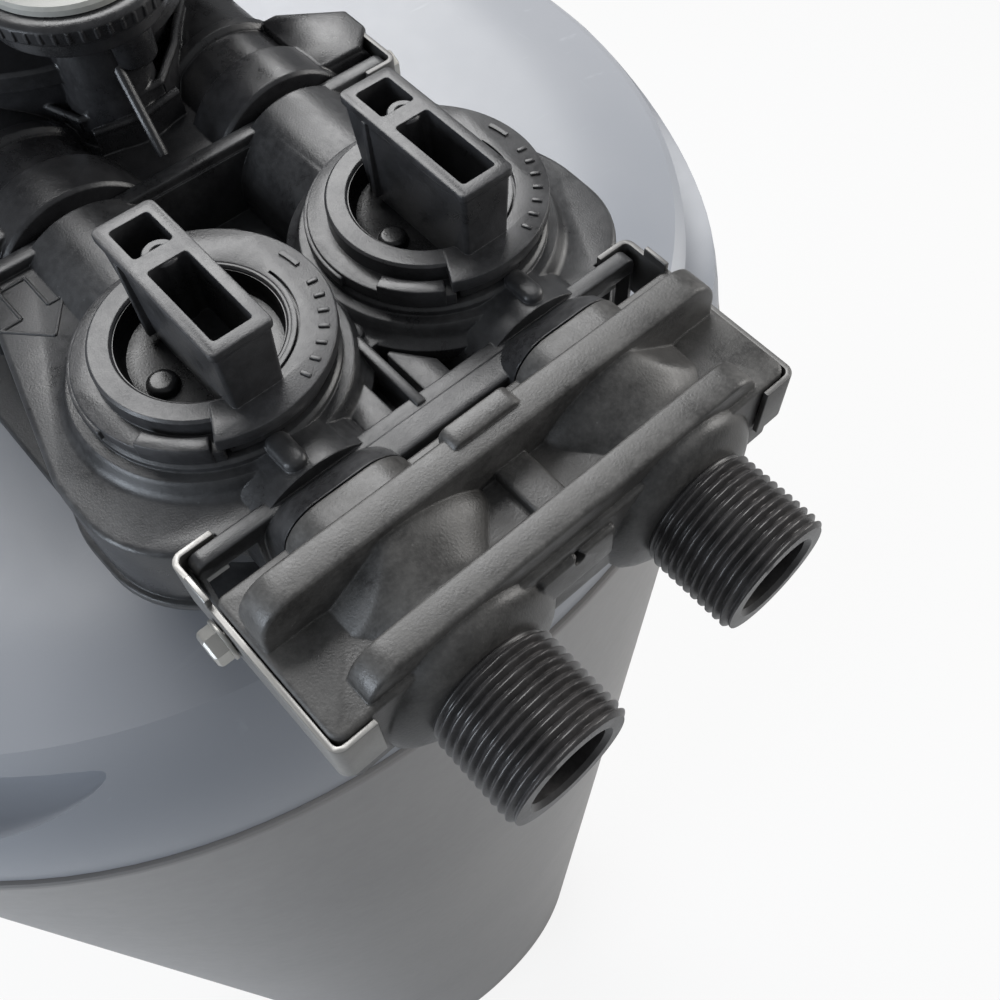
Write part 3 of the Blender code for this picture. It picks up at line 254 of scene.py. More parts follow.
def tapered(middle: float, near: Point, far: Point) -> list[Point]:
    """The corners of a plan that is even about a line along Y.

    Args:
        middle: the line's X.
        near: half width, Y and corner radius at one end.
        far: the same at the other end.

    Returns:
        X, Y and radius of each corner.
    """
    (half, start, first), (other, end, last) = near, far
    return [(middle - half, start, first), (middle + half, start, first), (middle + other, end, last),
            (middle - other, end, last)]


def oblong(left: float, right: float, near: float, far: float, radius: float,
           far_radius: float | None = None) -> list[Point]:
    """The corners of an oblong plan.

    Args:
        left: its lowest X.
        right: its highest X.
        near: its lowest Y.
        far: its highest Y.
        radius: of the near corners.
        far_radius: of the far ones, if that differs.

    Returns:
        X, Y and radius of each corner.
    """
    other = radius if far_radius is None else far_radius
    return [(left, near, radius), (right, near, radius), (right, far, other), (left, far, other)]


def slab(name: str, corners: Sequence[Point], low: float, high: float, steps: int = 10) -> Piece:
    """A rounded plan, extruded upwards.

    Args:
        name: the piece's name.
        corners: x, y and radius of each corner.
        low: its underside.
        high: its top.
        steps: the segments of each rounded corner.

    Returns:
        The object.
    """
    points = [(x, y, low) for x, y in rounded(corners, steps)]
    thing = ring_start(name, points, "NGON")
    with editing(thing):
        bpy.ops.mesh.select_all(action="SELECT")
        bpy.ops.mesh.extrude_region_move(TRANSFORM_OT_translate={"value": (0, 0, high - low)})
    return fair(thing)


def upright(thing: Piece, near: float) -> Piece:
    """Stands a slab up, so that its plan faces Y.

    Args:
        thing: a slab whose plan's Y is to be the height.
        near: the Y of the face towards the valve.

    Returns:
        The same object.
    """
    highest = max(vertex.co.z for vertex in thing.data.vertices)
    thing.data.transform(Matrix.Rotation(math.pi / 2, 4, "X"))
    thing.data.transform(Matrix.Translation((0, near + highest, 0)))
    return thing


def turned(name: str, profile: Sequence[tuple[float, float]], centre: Point = (0, 0, 0),
           axis: Axis = Axis.Z, steps: int = 64) -> Piece:
    """A profile spun round an axis.

    Args:
        name: the piece's name.
        profile: radius and height, from one end on the axis to the other, or a closed loop off it.
        centre: where the profile's origin goes.
        axis: the axis that it is spun round.
        steps: the segments of a full turn.

    Returns:
        The object.
    """
    thing = ring_start(name, [(radius, 0, height) for radius, height in profile], "NOTHING")
    with editing(thing) as shape:
        if profile[0][0] == 0:
            shape.edges.ensure_lookup_table()
            ends = {0, len(profile) - 1}
            for edge in shape.edges:
                edge.select = {vertex.index for vertex in edge.verts} == ends
            bmesh.update_edit_mesh(thing.data)
            bpy.ops.mesh.select_mode(type="EDGE")
            bpy.ops.mesh.delete(type="ONLY_FACE" if len(profile) < 3 else "EDGE")
            bpy.ops.mesh.select_mode(type="VERT")
        bpy.ops.mesh.select_all(action="SELECT")
        bpy.ops.mesh.spin(steps=steps, angle=2 * math.pi, center=(0, 0, 0), axis=(0, 0, 1))
    fair(thing)
    thing.rotation_euler = axis.value
    thing.location = centre
    return freeze(thing)


def rod(name: str, radius: float, start: Point, length: float, axis: Axis = Axis.Z, steps: int = 48,
        end: float | None = None) -> Piece:
    """A round bar or a cone.

    Args:
        name: the piece's name.
        radius: at its start.
        start: the middle of its first face.
        length: along the axis.
        axis: its axis.
        steps: the segments round it.
        end: the radius at its far end, if that differs.

    Returns:
        The object.
    """
    last = radius if end is None else end
    return turned(name, [(0, 0), (radius, 0), (last, length), (0, length)], start, axis, steps)


def loft(name: str, rings: Sequence[Sequence[Point]]) -> Piece:
    """A skin over rings of equal length, extruded from one to the next, with both ends filled.

    Args:
        name: the piece's name.
        rings: the points of each ring.

    Returns:
        The object.
    """
    thing = ring_start(name, rings[0], "NGON")
    with editing(thing):
        bpy.ops.mesh.select_all(action="SELECT")
        previous = rings[0]
        for ring in rings[1:]:
            bpy.ops.mesh.extrude_region_move()
            shape = bmesh.from_edit_mesh(thing.data)
            places = {tuple(Vector(point)): to for point, to in zip(previous, ring)}
            for vertex in shape.verts:
                if vertex.select:
                    vertex.co = places[tuple(vertex.co)]
            bmesh.update_edit_mesh(thing.data)
            previous = ring
    return fair(thing)


def apply_modifier(thing: Piece, kind: str, **settings: object) -> Piece:
    """Adds a modifier and applies it.

    Args:
        thing: the object.
        kind: the modifier's type.
        settings: its properties.

    Returns:
        The same object.
    """
    choose(thing)
    modifier = thing.modifiers.new(kind.lower(), kind)
    for key, value in settings.items():
        setattr(modifier, key, value)
    bpy.ops.object.modifier_apply(modifier=modifier.name)
    return thing


def soften(thing: Piece, width: float, segments: int = 3, angle: float = 35) -> Piece:
    """Rounds every sharp edge.

    Args:
        thing: the object.
        width: the bevel's width.
        segments: its segments.
        angle: edges sharper than this, in degrees, are rounded.

    Returns:
        The same object.
    """
    return apply_modifier(thing, "BEVEL", width=width, segments=segments, limit_method="ANGLE",
                          angle_limit=math.radians(angle), use_clamp_overlap=True)


def combine(thing: Piece, tools: Iterable[Piece], side: Side = Side.CUT) -> Piece:
    """Adds tools to an object or cuts them from it, one after the other, and removes them.

    Args:
        thing: the object.
        tools: the objects to add or cut.
        side: whether they are added or cut.

    Returns:
        The same object.
    """
    for tool in tools:
        apply_modifier(thing, "BOOLEAN", object=tool, operation=side.value, solver="EXACT")
        bpy.data.objects.remove(tool, do_unlink=True)
    return thing


def joined(name: str, parts: Sequence[Piece]) -> Piece:
    """Joins objects into one piece of several closed shells.

    Args:
        name: the piece's name.
        parts: the objects.

    Returns:
        The joined object.
    """
    choose(*parts)
    if len(parts) > 1:
        bpy.ops.object.join()
    return named(name)


def sector(name: str, radii: tuple[float, float], span: tuple[float, float], heights: tuple[float, float],
           steps: int = 40) -> Piece:
    """Part of a flat ring about the origin.

    Args:
        name: the piece's name.
        radii: inner and outer.
        span: its first and last angle in degrees.
        heights: its underside and top.
        steps: the segments of its arcs.

    Returns:
        The object.
    """
    inner, outer = radii
    angles = [math.radians(span[0] + (span[1] - span[0]) * step / steps) for step in range(steps + 1)]
    rim = [(outer * math.cos(angle), outer * math.sin(angle), 0) for angle in angles]
    root = [(inner * math.cos(angle), inner * math.sin(angle), 0) for angle in reversed(angles)]
    return slab(name, rim + root, *heights)


def moved(thing: Piece, by: Point) -> Piece:
    """Shifts an object's mesh.

    Args:
        thing: the object.
        by: how far.

    Returns:
        The same object.
    """
    thing.data.transform(Matrix.Translation(by))
    return thing


def smooth(thing: Piece, angle: float = 32) -> Piece:
    """Shades an object smooth, and sharp where faces meet at more than an angle.

    Args:
        thing: the object.
        angle: in degrees.

    Returns:
        The same object.
    """
    choose(thing)
    bpy.ops.object.shade_smooth_by_angle(angle=math.radians(angle), keep_sharp_edges=False)
    return thing


# Finishes


class Value:
    """A shader value that takes part in Python expressions, each of which adds a Math node."""

    def __init__(self, graph: "Graph", socket: bpy.types.NodeSocket) -> None:
        """Keeps the graph and the output socket."""
        self.graph = graph
        self.socket = socket

    def _maths(self, operation: str, first: object, second: object = None, clamp: bool = False) -> "Value":
        """One Math node.

        Args:
            operation: the node's operation.
            first: its first input.
            second: its second input, if it has one.
            clamp: whether the result is kept from 0 to 1.

        Returns:
            The node's value.
        """
        inputs = {0: first} if second is None else {0: first, 1: second}
        return self.graph.node("ShaderNodeMath", {"operation": operation, "use_clamp": clamp}, inputs)

    def __add__(self, other: object) -> "Value":
        """Sum."""
        return self._maths("ADD", self, other)

    __radd__ = __add__

    def __sub__(self, other: object) -> "Value":
        """Difference."""
        return self._maths("SUBTRACT", self, other)

    def __rsub__(self, other: object) -> "Value":
        """Difference from a number."""
        return self._maths("SUBTRACT", other, self)

    def __mul__(self, other: object) -> "Value":
        """Product."""
        return self._maths("MULTIPLY", self, other)

    def clamped(self) -> "Value":
        """The value kept from 0 to 1."""
        return self._maths("ADD", self, 0.0, True)

    def above(self, low: float, high: float) -> "Value":
        """A ramp from 0 at one level to 1 at another.

        Args:
            low: where it leaves 0.
            high: where it reaches 1.

        Returns:
            The ramp's value.
        """
        return self._maths("MULTIPLY", self - low, 1 / (high - low), True)


class Graph:
    """The nodes of one material."""

    def __init__(self, material: bpy.types.Material) -> None:
        """Starts an empty tree."""
        material.use_nodes = True
        self.tree = material.node_tree
        self.tree.nodes.clear()

    def node(self, kind: str, settings: dict[str, object], inputs: dict[object, object],
             output: object = 0) -> Value:
        """Adds a node.

        Args:
            kind: its type.
            settings: its properties, set first.
            inputs: what each input socket takes, a number, colour or Value.
            output: the output wanted.

        Returns:
            The output as a Value.
        """
        made = self.tree.nodes.new(kind)
        for key, value in settings.items():
            setattr(made, key, value)
        for key, value in inputs.items():
            if isinstance(value, Value):
                self.tree.links.new(value.socket, made.inputs[key])
            else:
                made.inputs[key].default_value = value
        return Value(self, made.outputs[output])

    def place(self, stretch: Point = (1, 1, 1)) -> Value:
        """Object coordinates in metres, stretched.

        Args:
            stretch: the scale along each axis.

        Returns:
            The vector.
        """
        spot = self.node("ShaderNodeTexCoord", {}, {}, "Object")
        return self.node("ShaderNodeMapping", {}, {"Vector": spot, "Scale": stretch})

    def noise(self, size: float, detail: float = 3.0, rough: float = 0.55,
              stretch: Point = (1, 1, 1)) -> Value:
        """Noise with features of a given size.

        Args:
            size: of its largest features, in millimetres.
            detail: its octaves.
            rough: the strength of the finer octaves.
            stretch: scales of the coordinates.

        Returns:
            The noise, about 0.5.
        """
        return self.node("ShaderNodeTexNoise", {}, {"Vector": self.place(stretch), "Scale": 1000 / size,
                                                    "Detail": detail, "Roughness": rough})

    def specks(self, size: float, reach: float) -> Value:
        """Scattered small dots.

        Args:
            size: of the cells that each hold a dot, in millimetres.
            reach: the dot's radius as a share of a cell.

        Returns:
            1 in a dot and 0 outside.
        """
        cell = self.node("ShaderNodeTexVoronoi", {}, {"Vector": self.place(), "Scale": 1000 / size})
        return 1 - cell.above(reach * 0.5, reach)

    def mix(self, share: object, first: object, second: object) -> Value:
        """A blend of two colours.

        Args:
            share: how much of the second.
            first: a colour.
            second: a colour.

        Returns:
            The colour.
        """
        return self.node("ShaderNodeMix", {"data_type": "RGBA"}, {0: share, 6: first, 7: second}, 2)

    def bump(self, height: Value, strength: float, depth: float, normal: Value | None = None) -> Value:
        """A bumped normal.

        Args:
            height: the height.
            strength: of the bump.
            depth: what a height of 1 stands for, in millimetres.
            normal: the normal that it starts from.

        Returns:
            The normal.
        """
        inputs = {"Height": height, "Strength": strength, "Distance": depth * MM}
        if normal is not None:
            inputs["Normal"] = normal
        return self.node("ShaderNodeBump", {}, inputs)

    def rounded_edges(self, radius: float) -> Value:
        """The normal of the surface with its edges rounded, in millimetres."""
        return self.node("ShaderNodeBevel", {"samples": 4}, {"Radius": radius * MM})

    def edges(self, radius: float) -> Value:
        """A mask of the edges.

        Args:
            radius: how far from an edge it reaches, in millimetres.

        Returns:
            1 on edges and 0 on flats.
        """
        flat = self.node("ShaderNodeNewGeometry", {}, {}, "Normal")
        along = self.node("ShaderNodeVectorMath", {"operation": "DOT_PRODUCT"},
                          {0: flat, 1: self.rounded_edges(radius)}, "Value")
        return (1 - along).above(0.02, 0.25)

    def surface(self, varying: dict[str, object], constant: dict[str, object]) -> None:
        """The Principled shader and the output.

        Args:
            varying: what changes over the surface.
            constant: numbers and colours that are the same all over.
        """
        shader = self.node("ShaderNodeBsdfPrincipled", {}, {**constant, **varying})
        self.node_output(shader)

    def node_output(self, shader: Value) -> None:
        """Connects a shader to the material's output."""
        made = self.tree.nodes.new("ShaderNodeOutputMaterial")
        self.tree.links.new(shader.socket, made.inputs["Surface"])


def grey(level: float, tint: Point = (1, 1, 1)) -> tuple[float, float, float, float]:
    """A tinted grey.

    Args:
        level: its brightness, linear.
        tint: factors for red, green and blue.

    Returns:
        The colour.
    """
    return (level * tint[0], level * tint[1], level * tint[2], 1.0)


@dataclass(frozen=True)
class Finish:
    """A finish that a sub-assembly can ask for."""

    name: str
    slot: str

    def build(self, graph: Graph) -> None:
        """Fills the material's nodes."""
        raise NotImplementedError

    def material(self) -> bpy.types.Material:
        """The material, made on first use."""
        found = bpy.data.materials.get(self.name)
        if found is None:
            found = bpy.data.materials.new(self.name)
            self.build(Graph(found))
        return found


@dataclass(frozen=True)
class Moulding(Finish):
    """Moulded plastic: mottled, dusty, with worn edges and a fine grain."""

    colour: Point = (0.03, 0.03, 0.03)
    dust: Point = (0.2, 0.2, 0.21)
    dusty: float = 0.2
    mottle: float = 0.3
    mottle_size: float = 14.0
    rough: float = 0.45
    rough_spread: float = 0.2
    grain: float = 0.05
    grain_size: float = 0.5
    edge: float = 0.1
    edge_reach: float = 0.6
    round_edges: float = 0.0
    specular: float = 0.5
    sheen: float = 0.0

    def build(self, graph: Graph) -> None:
        """Fills the material's nodes."""
        broad = graph.noise(self.mottle_size, 4, 0.6)
        fine = graph.noise(self.mottle_size / 9, 4, 0.6)
        level = (broad.above(0.35, 0.7) * 0.65 + fine.above(0.4, 0.75) * 0.35).clamped()
        base = graph.mix(level * self.mottle, (*self.colour, 1), tuple(c * 2.2 for c in self.colour) + (1,))
        spots = graph.specks(3.2, 0.09) * broad.above(0.45, 0.6)
        film = (level * self.dusty + spots * self.dusty * 1.5).clamped()
        worn = graph.edges(self.edge_reach) * fine.above(0.3, 0.6)
        colour = graph.mix((film + worn * self.edge).clamped(), base, (*self.dust, 1))
        rough = self.rough + (level - 0.4) * self.rough_spread
        start = graph.rounded_edges(self.round_edges) if self.round_edges else None
        grain = graph.bump(graph.noise(self.grain_size, 2, 0.5), 1.0, self.grain, start)
        graph.surface({"Base Color": colour, "Roughness": rough, "Normal": grain},
                      {"Specular IOR Level": self.specular, "Sheen Weight": self.sheen})


@dataclass(frozen=True)
class Satin(Finish):
    """The cabinet's painted-looking satin plastic, with scuffs and a soft cloud."""

    colour: Point = (0.3, 0.31, 0.34)
    cloud: Point = (0.36, 0.37, 0.39)
    rough: float = 0.42
    scuff: float = 0.2
    grain: float = 0.02

    def build(self, graph: Graph) -> None:
        """Fills the material's nodes."""
        broad = graph.noise(150, 3, 0.5)
        fine = graph.noise(7, 5, 0.65)
        cloud = graph.mix(broad.above(0.3, 0.7), (*self.colour, 1), (*self.cloud, 1))
        scratch = graph.noise(5, 3, 0.6, (0.12, 1, 1)).above(0.66, 0.74)
        other = graph.noise(6, 3, 0.6, (1, 0.1, 1)).above(0.68, 0.76)
        marks = ((scratch + other) * broad.above(0.42, 0.58) * self.scuff).clamped()
        colour = graph.mix(marks, cloud, tuple(min(1.0, c * 1.7) for c in self.cloud) + (1,))
        rough = self.rough + (fine - 0.5) * 0.12 + marks * 0.25
        grain = graph.bump(graph.noise(0.9, 2, 0.5), 0.6, self.grain)
        graph.surface({"Base Color": colour, "Roughness": rough, "Normal": grain},
                      {"Specular IOR Level": 0.5})


@dataclass(frozen=True)
class Steel(Finish):
    """Stamped or turned bright metal with fine drawn lines."""

    colour: Point = (0.78, 0.77, 0.75)
    rough: float = 0.2

    def build(self, graph: Graph) -> None:
        """Fills the material's nodes."""
        drawn = graph.noise(0.7, 3, 0.6, (1, 0.05, 1))
        cloud = graph.noise(9, 3, 0.6)
        colour = graph.mix(cloud.above(0.45, 0.75) * 0.35, (*self.colour, 1),
                           tuple(c * 0.6 for c in self.colour) + (1,))
        rough = self.rough + drawn * 0.14 + cloud * 0.08
        graph.surface({"Base Color": colour, "Roughness": rough, "Normal": graph.bump(drawn, 0.4, 0.02)},
                      {"Metallic": 1.0})


@dataclass(frozen=True)
class Window(Finish):
    """A dark glossy display behind clear plastic."""

    colour: Point = (0.015, 0.02, 0.022)

    def build(self, graph: Graph) -> None:
        """Fills the material's nodes."""
        haze = graph.noise(12, 3, 0.6)
        colour = graph.mix(haze.above(0.4, 0.8) * 0.3, (*self.colour, 1), grey(0.05))
        graph.surface({"Base Color": colour, "Roughness": 0.06 + haze * 0.08},
                      {"Coat Weight": 0.6, "Coat Roughness": 0.04})


@dataclass(frozen=True)
class Beads(Finish):
    """The resin bed's amber beads."""

    colour: Point = (0.42, 0.2, 0.05)

    def build(self, graph: Graph) -> None:
        """Fills the material's nodes."""
        cell = graph.node("ShaderNodeTexVoronoi", {}, {"Vector": graph.place(), "Scale": 1100.0})
        tone = graph.node("ShaderNodeTexVoronoi", {}, {"Vector": graph.place(), "Scale": 1100.0}, "Color")
        share = graph.node("ShaderNodeSeparateColor", {}, {"Color": tone}, 0)
        colour = graph.mix(share, (*self.colour, 1), tuple(c * 0.5 for c in self.colour) + (1,))
        graph.surface({"Base Color": colour, "Roughness": 0.3 + share * 0.1,
                       "Normal": graph.bump(1 - cell, 1.0, 0.4)}, {"Specular IOR Level": 0.5})


BYPASS_BLACK = Moulding("bypass_black", "black", colour=(0.017, 0.017, 0.018), dust=(0.17, 0.175, 0.18),
                        dusty=0.15, mottle=0.7, mottle_size=16, rough=0.35, rough_spread=0.25, grain=0.04,
                        grain_size=0.5, edge=0.30, edge_reach=0.5, round_edges=0.6)
KNOB_BLACK = Moulding("knob_black", "black", colour=(0.022, 0.022, 0.023), dust=(0.22, 0.22, 0.235),
                      dusty=0.09, mottle=0.7, mottle_size=11, rough=0.35, rough_spread=0.22, grain=0.04,
                      grain_size=0.45, edge=0.35, edge_reach=0.45, round_edges=0.35)
# A near-black copy of the knobs' plastic that lines each knob's dish: painted shade in the hollow.
DISH_SHADE_BLACK = Moulding("dish_shade_black", "black", colour=(0.006, 0.006, 0.0065), dust=(0.1, 0.1, 0.1), dusty=0.05,
                     mottle=0.5, mottle_size=8, rough=0.3, rough_spread=0.15, grain=0.03, grain_size=0.5,
                     edge=0.05)
MANIFOLD_BLACK = Moulding("manifold_black", "black", colour=(0.032, 0.031, 0.030),
                          dust=(0.22, 0.215, 0.205), dusty=0.22, mottle=0.8, mottle_size=10, rough=0.42,
                          rough_spread=0.26, grain=0.06, grain_size=0.6, edge=0.25, edge_reach=0.7,
                          round_edges=0.8)
THREAD_BLACK = Moulding("thread_black", "black", colour=(0.020, 0.019, 0.019), dust=(0.16, 0.15, 0.15),
                        dusty=0.18, mottle=0.5, mottle_size=7, rough=0.36, rough_spread=0.15, grain=0.03,
                        grain_size=0.5, edge=0.2, edge_reach=0.35)
VALVE_BLACK = Moulding("valve_black", "black", colour=(0.012, 0.012, 0.013), dust=(0.13, 0.13, 0.135),
                       dusty=0.10, mottle=0.6, mottle_size=20, rough=0.31, rough_spread=0.22, grain=0.04,
                       grain_size=0.6, edge=0.25, edge_reach=0.6, round_edges=0.8)
CAP_GREY = Moulding("cap_grey", "dark", colour=(0.33, 0.33, 0.305), dust=(0.6, 0.6, 0.58), dusty=0.15,
                    mottle=0.15, mottle_size=18, rough=0.42, grain=0.03, edge=0.15, edge_reach=0.5)
HEAD_DARK = Moulding("head_dark", "dark", colour=(0.045, 0.047, 0.052), dust=(0.2, 0.2, 0.21), dusty=0.12,
                     mottle=0.3, mottle_size=30, rough=0.45, grain=0.05, grain_size=0.7, edge=0.15,
                     edge_reach=0.6)
KEY_PALE = Moulding("key_pale", "white", colour=(0.55, 0.56, 0.57), dust=(0.35, 0.35, 0.34), dusty=0.1,
                    mottle=0.1, mottle_size=6, rough=0.4, grain=0.02, edge=0.1, edge_reach=0.3)
WHITE_PLASTIC = Moulding("white_plastic", "white", colour=(0.60, 0.60, 0.57), dust=(0.42, 0.42, 0.38),
                         dusty=0.2, mottle=0.12, mottle_size=24, rough=0.4, grain=0.02, edge=0.05,
                         edge_reach=0.4)
VESSEL_BLUE = Moulding("vessel_blue", "vessel", colour=(0.10, 0.17, 0.24), dust=(0.3, 0.34, 0.38),
                       dusty=0.15, mottle=0.35, mottle_size=30, rough=0.35, grain=0.15, grain_size=4,
                       edge=0.05, edge_reach=0.5)
DECK_SATIN = Satin("deck_satin", "deck", colour=(0.27, 0.285, 0.315), cloud=(0.32, 0.33, 0.355), rough=0.40,
                   scuff=0.22)
WALL_SATIN = Satin("wall_satin", "wall", colour=(0.228, 0.220, 0.216), cloud=(0.262, 0.252, 0.246),
                   rough=0.42, scuff=0.12)
BRIGHT_STEEL = Steel("bright_steel", "steel", colour=(0.52, 0.51, 0.48), rough=0.30)
CLIP_STEEL = Steel("clip_steel", "steel", colour=(0.30, 0.295, 0.285), rough=0.36)
# A darker copy of the clip steel, for the three clips other than the rear left one: painted shade.
SHADED_CLIP_STEEL = Steel("shaded_clip_steel", "steel", colour=(0.17, 0.168, 0.165), rough=0.42)
DARK_WINDOW = Window("dark_window", "window")
RESIN_BEADS = Beads("resin_beads", "resin")


@dataclass
class Assembly:
    """What every sub-assembly shares: its datum and the way its pieces are settled."""

    datum: Vector = field(default_factory=lambda: VALVE_DATUM.copy())

    def settle(self, piece: Piece, finish: Finish, body: str = "cabinet", nodes: Sequence[str] = (),
               angle: float = 32) -> Piece:
        """Scales a piece to metres at its datum, dresses it and rides it on its body.

        Args:
            piece: the finished piece, in millimetres about the datum.
            finish: its finish.
            body: the CAD body that it rides on.
            nodes: the CAD nodes that it stands for.
            angle: edges sharper than this stay sharp, in degrees.

        Returns:
            The piece.
        """
        smooth(piece, angle)
        piece.data.transform(Matrix.Translation(self.datum) @ Matrix.Scale(MM, 4))
        piece.data.materials.clear()
        piece.data.materials.append(finish.material())
        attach(piece, body)
        if nodes:
            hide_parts(*nodes)
        LOG.info("%s: %d faces on %s", piece.name, len(piece.data.polygons), body)
        return piece


@dataclass
class Cabinet(Assembly):
    """The salt tub, the cover with its soft shoulder and grips, and the overflow."""

    datum: Vector = field(default_factory=lambda: BASE_DATUM.copy())
    half_width: float = 207.5
    rear_depth: float = 202.0
    front_depth: float = 238.0
    squareness: float = 2.26
    middle: float = 18.0
    deck: float = 1110.0
    rim: float = 1055.0
    run: float = 40.0
    crest: float = 61.6
    crown: float = 60.0
    taper: float = 0.034
    step: float = 2.0
    wall: float = 4.0
    skin: float = 4.2
    foot: float = 30.0
    plan_steps: int = 144
    salt_width: float = 180.0
    salt_depth: float = 78.0
    salt_corner: float = 26.0
    salt_front: float = -156.0
    coaming: float = 4.0
    hinge_x: float = 60.0
    hinge_y: float = -66.5
    hinge_z: float = 1118.0

    def plan_point(self, angle: float, inset: float) -> tuple[Vector, Vector]:
        """One point of the cabinet's plan.

        Args:
            angle: the superellipse's angle.
            inset: how far it is set in.

        Returns:
            The point and the way out from it.
        """
        across, along = math.cos(angle), math.sin(angle)
        depth = self.rear_depth if along > 0 else self.front_depth
        power = self.squareness
        scale = (abs(across) ** power + abs(along) ** power) ** (-1 / power)
        x, y = self.half_width * across * scale, depth * along * scale
        out = Vector((math.copysign(abs(x / self.half_width) ** (power - 1) / self.half_width, x),
                      math.copysign(abs(y / depth) ** (power - 1) / depth, y))).normalized()
        return Vector((x, self.middle + y)) - inset * out, out

    def ring(self, inset: float, height: float) -> list[Point]:
        """One level of the cabinet.

        Args:
            inset: how far its plan is set in.
            height: its height.

        Returns:
            Its points.
        """
        angles = [2 * math.pi * (step + 0.5) / self.plan_steps for step in range(self.plan_steps)]
        return [(*self.plan_point(angle, inset)[0], height) for angle in angles]

    def wall_inset(self, height: float) -> float:
        """How far the tub's wall has come in at a height."""
        return self.taper * (self.rim - height) - self.step

    def tub(self) -> None:
        """The tapered wall, its rounded foot and the lip inside the cover."""
        base = self.wall_inset(0)
        outer = []
        for step in range(9):
            angle = math.pi / 2 * step / 8
            low = self.foot * (1 - math.cos(angle))
            outer.append((base + self.foot * (1 - math.sin(angle)) - self.taper * low, low))
        outer += [(self.wall_inset(z), z) for z in (300, 600, 900, self.rim - 3.0)]
        outer += [(-self.step, self.rim - 1.6), (-self.step + 0.3, self.rim - 0.7),
                  (-self.step + 1.0, self.rim - 0.3)]
        lip, ledge = 6.14, self.rim - 0.3
        inner = [(lip, ledge), (lip, ledge + 9), (lip + self.wall, ledge + 9),
                 (lip + self.wall, ledge - lip)]
        inner += [(self.wall + self.wall_inset(z), z) for z in (1014.2, 500, self.foot)]
        inner += [(base + self.foot + self.wall, self.wall)]
        tub = loft("cabinet_tub", [self.ring(inset, height) for inset, height in outer + inner])
        combine(tub, [rod("overflow_hole", 8.3, (-217.5, self.middle, 930), 40, Axis.X, 24)])
        self.settle(tub, WALL_SATIN, nodes=["salt_tub"], angle=28)

    def levels(self, extra: float, drop: float, steps: int) -> list[list[Point]]:
        """The cover's levels, from its rim over the shoulder to the deck.

        Args:
            extra: how far they are set in for the hollow.
            drop: how far below the deck the top one lies.
            steps: the segments of the shoulder.

        Returns:
            The rings.
        """
        start = self.rim if extra == 0 else self.rim - 1
        levels = [(extra + (0.8 if extra == 0 else 0), start)]
        if extra == 0:
            levels += [(0.2, start + 0.25), (0.0, start + 0.9)]
        last = math.radians(self.crest if extra == 0 else 90)
        for step in range(steps + 1):
            angle = last * step / steps
            levels.append((extra + self.run * (1 - math.cos(angle)),
                           self.rim + 4 + (self.deck - self.rim - 4 - drop) * math.sin(angle)))
        if extra == 0:
            edge, high = levels[-1]
            for step in range(1, 9):
                inset = edge + (self.crown - edge) * step / 8
                levels.append((inset, self.deck - (self.deck - high) * (1 - step / 8) ** 2))
        return [self.ring(inset, height) for inset, height in levels]

    def scoop(self, name: str, sign: int, grow: float, steps: int = 30, around: int = 24) -> Piece:
        """The blank of a hand grip, which follows the plan and runs out at both ends.

        Args:
            name: the piece's name.
            sign: its side.
            grow: how much larger it is than the grip.
            steps: the levels along it.
            around: the points round it.

        Returns:
            The blank.
        """
        start, end = math.radians(61.5 + grow), math.radians(4 - grow)
        rings = []
        for step in range(1, steps):
            way = 2 * step / steps - 1
            size = (1 - way * way) ** 0.95
            sink = size ** 0.6
            centre, out = self.plan_point(start + (end - start) * (way + 1) / 2, 22 - 8 * sink)
            ring = []
            for turn in range(around):
                angle = 2 * math.pi * turn / around
                spot = centre + out * (23.0 + grow) * size * math.cos(angle)
                rise = (14 + grow) * size * math.sin(angle)
                ring.append((sign * spot.x, spot.y, self.deck - 9 - 13 * sink + rise))
            rings.append(ring)
        return loft(name, rings)

    def salt_plan(self, grow: float) -> list[Point]:
        """The salt opening's plan, grown outwards."""
        half, rear = self.salt_width / 2 + grow, self.salt_front + self.salt_depth + grow
        front, radius = self.salt_front - grow, self.salt_corner + grow
        return oblong(-half, half, front, rear, radius)

    def pin_holes(self) -> list[Piece]:
        """The bars that cut both hinge pins' holes."""
        return [rod(f"pin_hole_{side}", 2.0, (sign * self.hinge_x - 30, self.hinge_y, self.hinge_z), 60,
                    Axis.X, 16) for side, sign in SIDES]

    def cover(self) -> None:
        """The deck and its soft shoulder, with the grips, the salt coaming and the hinge lugs."""
        cover = loft("cabinet_cover", self.levels(0.0, 0.0, 18))
        hollow = loft("hollow", self.levels(self.skin, self.skin, 10))
        combine(hollow, [self.scoop(f"pan_{side}", sign, 3.5) for side, sign in SIDES])
        combine(cover, [hollow])
        combine(cover, [self.scoop(f"grip_{side}", sign, 0.0) for side, sign in SIDES])
        coaming = slab("coaming", self.salt_plan(self.coaming), self.deck - self.skin, self.deck + 10)
        extras = [soften(coaming, 1.0, 2)]
        for side, sign in SIDES:
            for end in (-1, 1):
                low = sign * self.hinge_x + end * 18.3 - 3
                lug = block(f"lug_{side}_{end + 2}", (low, self.hinge_y - 3.2, self.deck - 2),
                            (low + 6, self.hinge_y + 3.2, self.hinge_z))
                eye = rod("eye", 3.2, (low, self.hinge_y, self.hinge_z), 6, Axis.X, 24)
                extras.append(combine(lug, [eye], Side.ADD))
        combine(cover, extras, Side.ADD)
        holes = [slab("salt_hole", self.salt_plan(0.0), self.deck - 20, self.deck + 30),
                 rod("valve_hole", 50, (0, self.middle, self.deck - 20), 40, steps=64)]
        combine(cover, holes + self.pin_holes())
        self.settle(cover, DECK_SATIN, nodes=["top_cover"], angle=15)

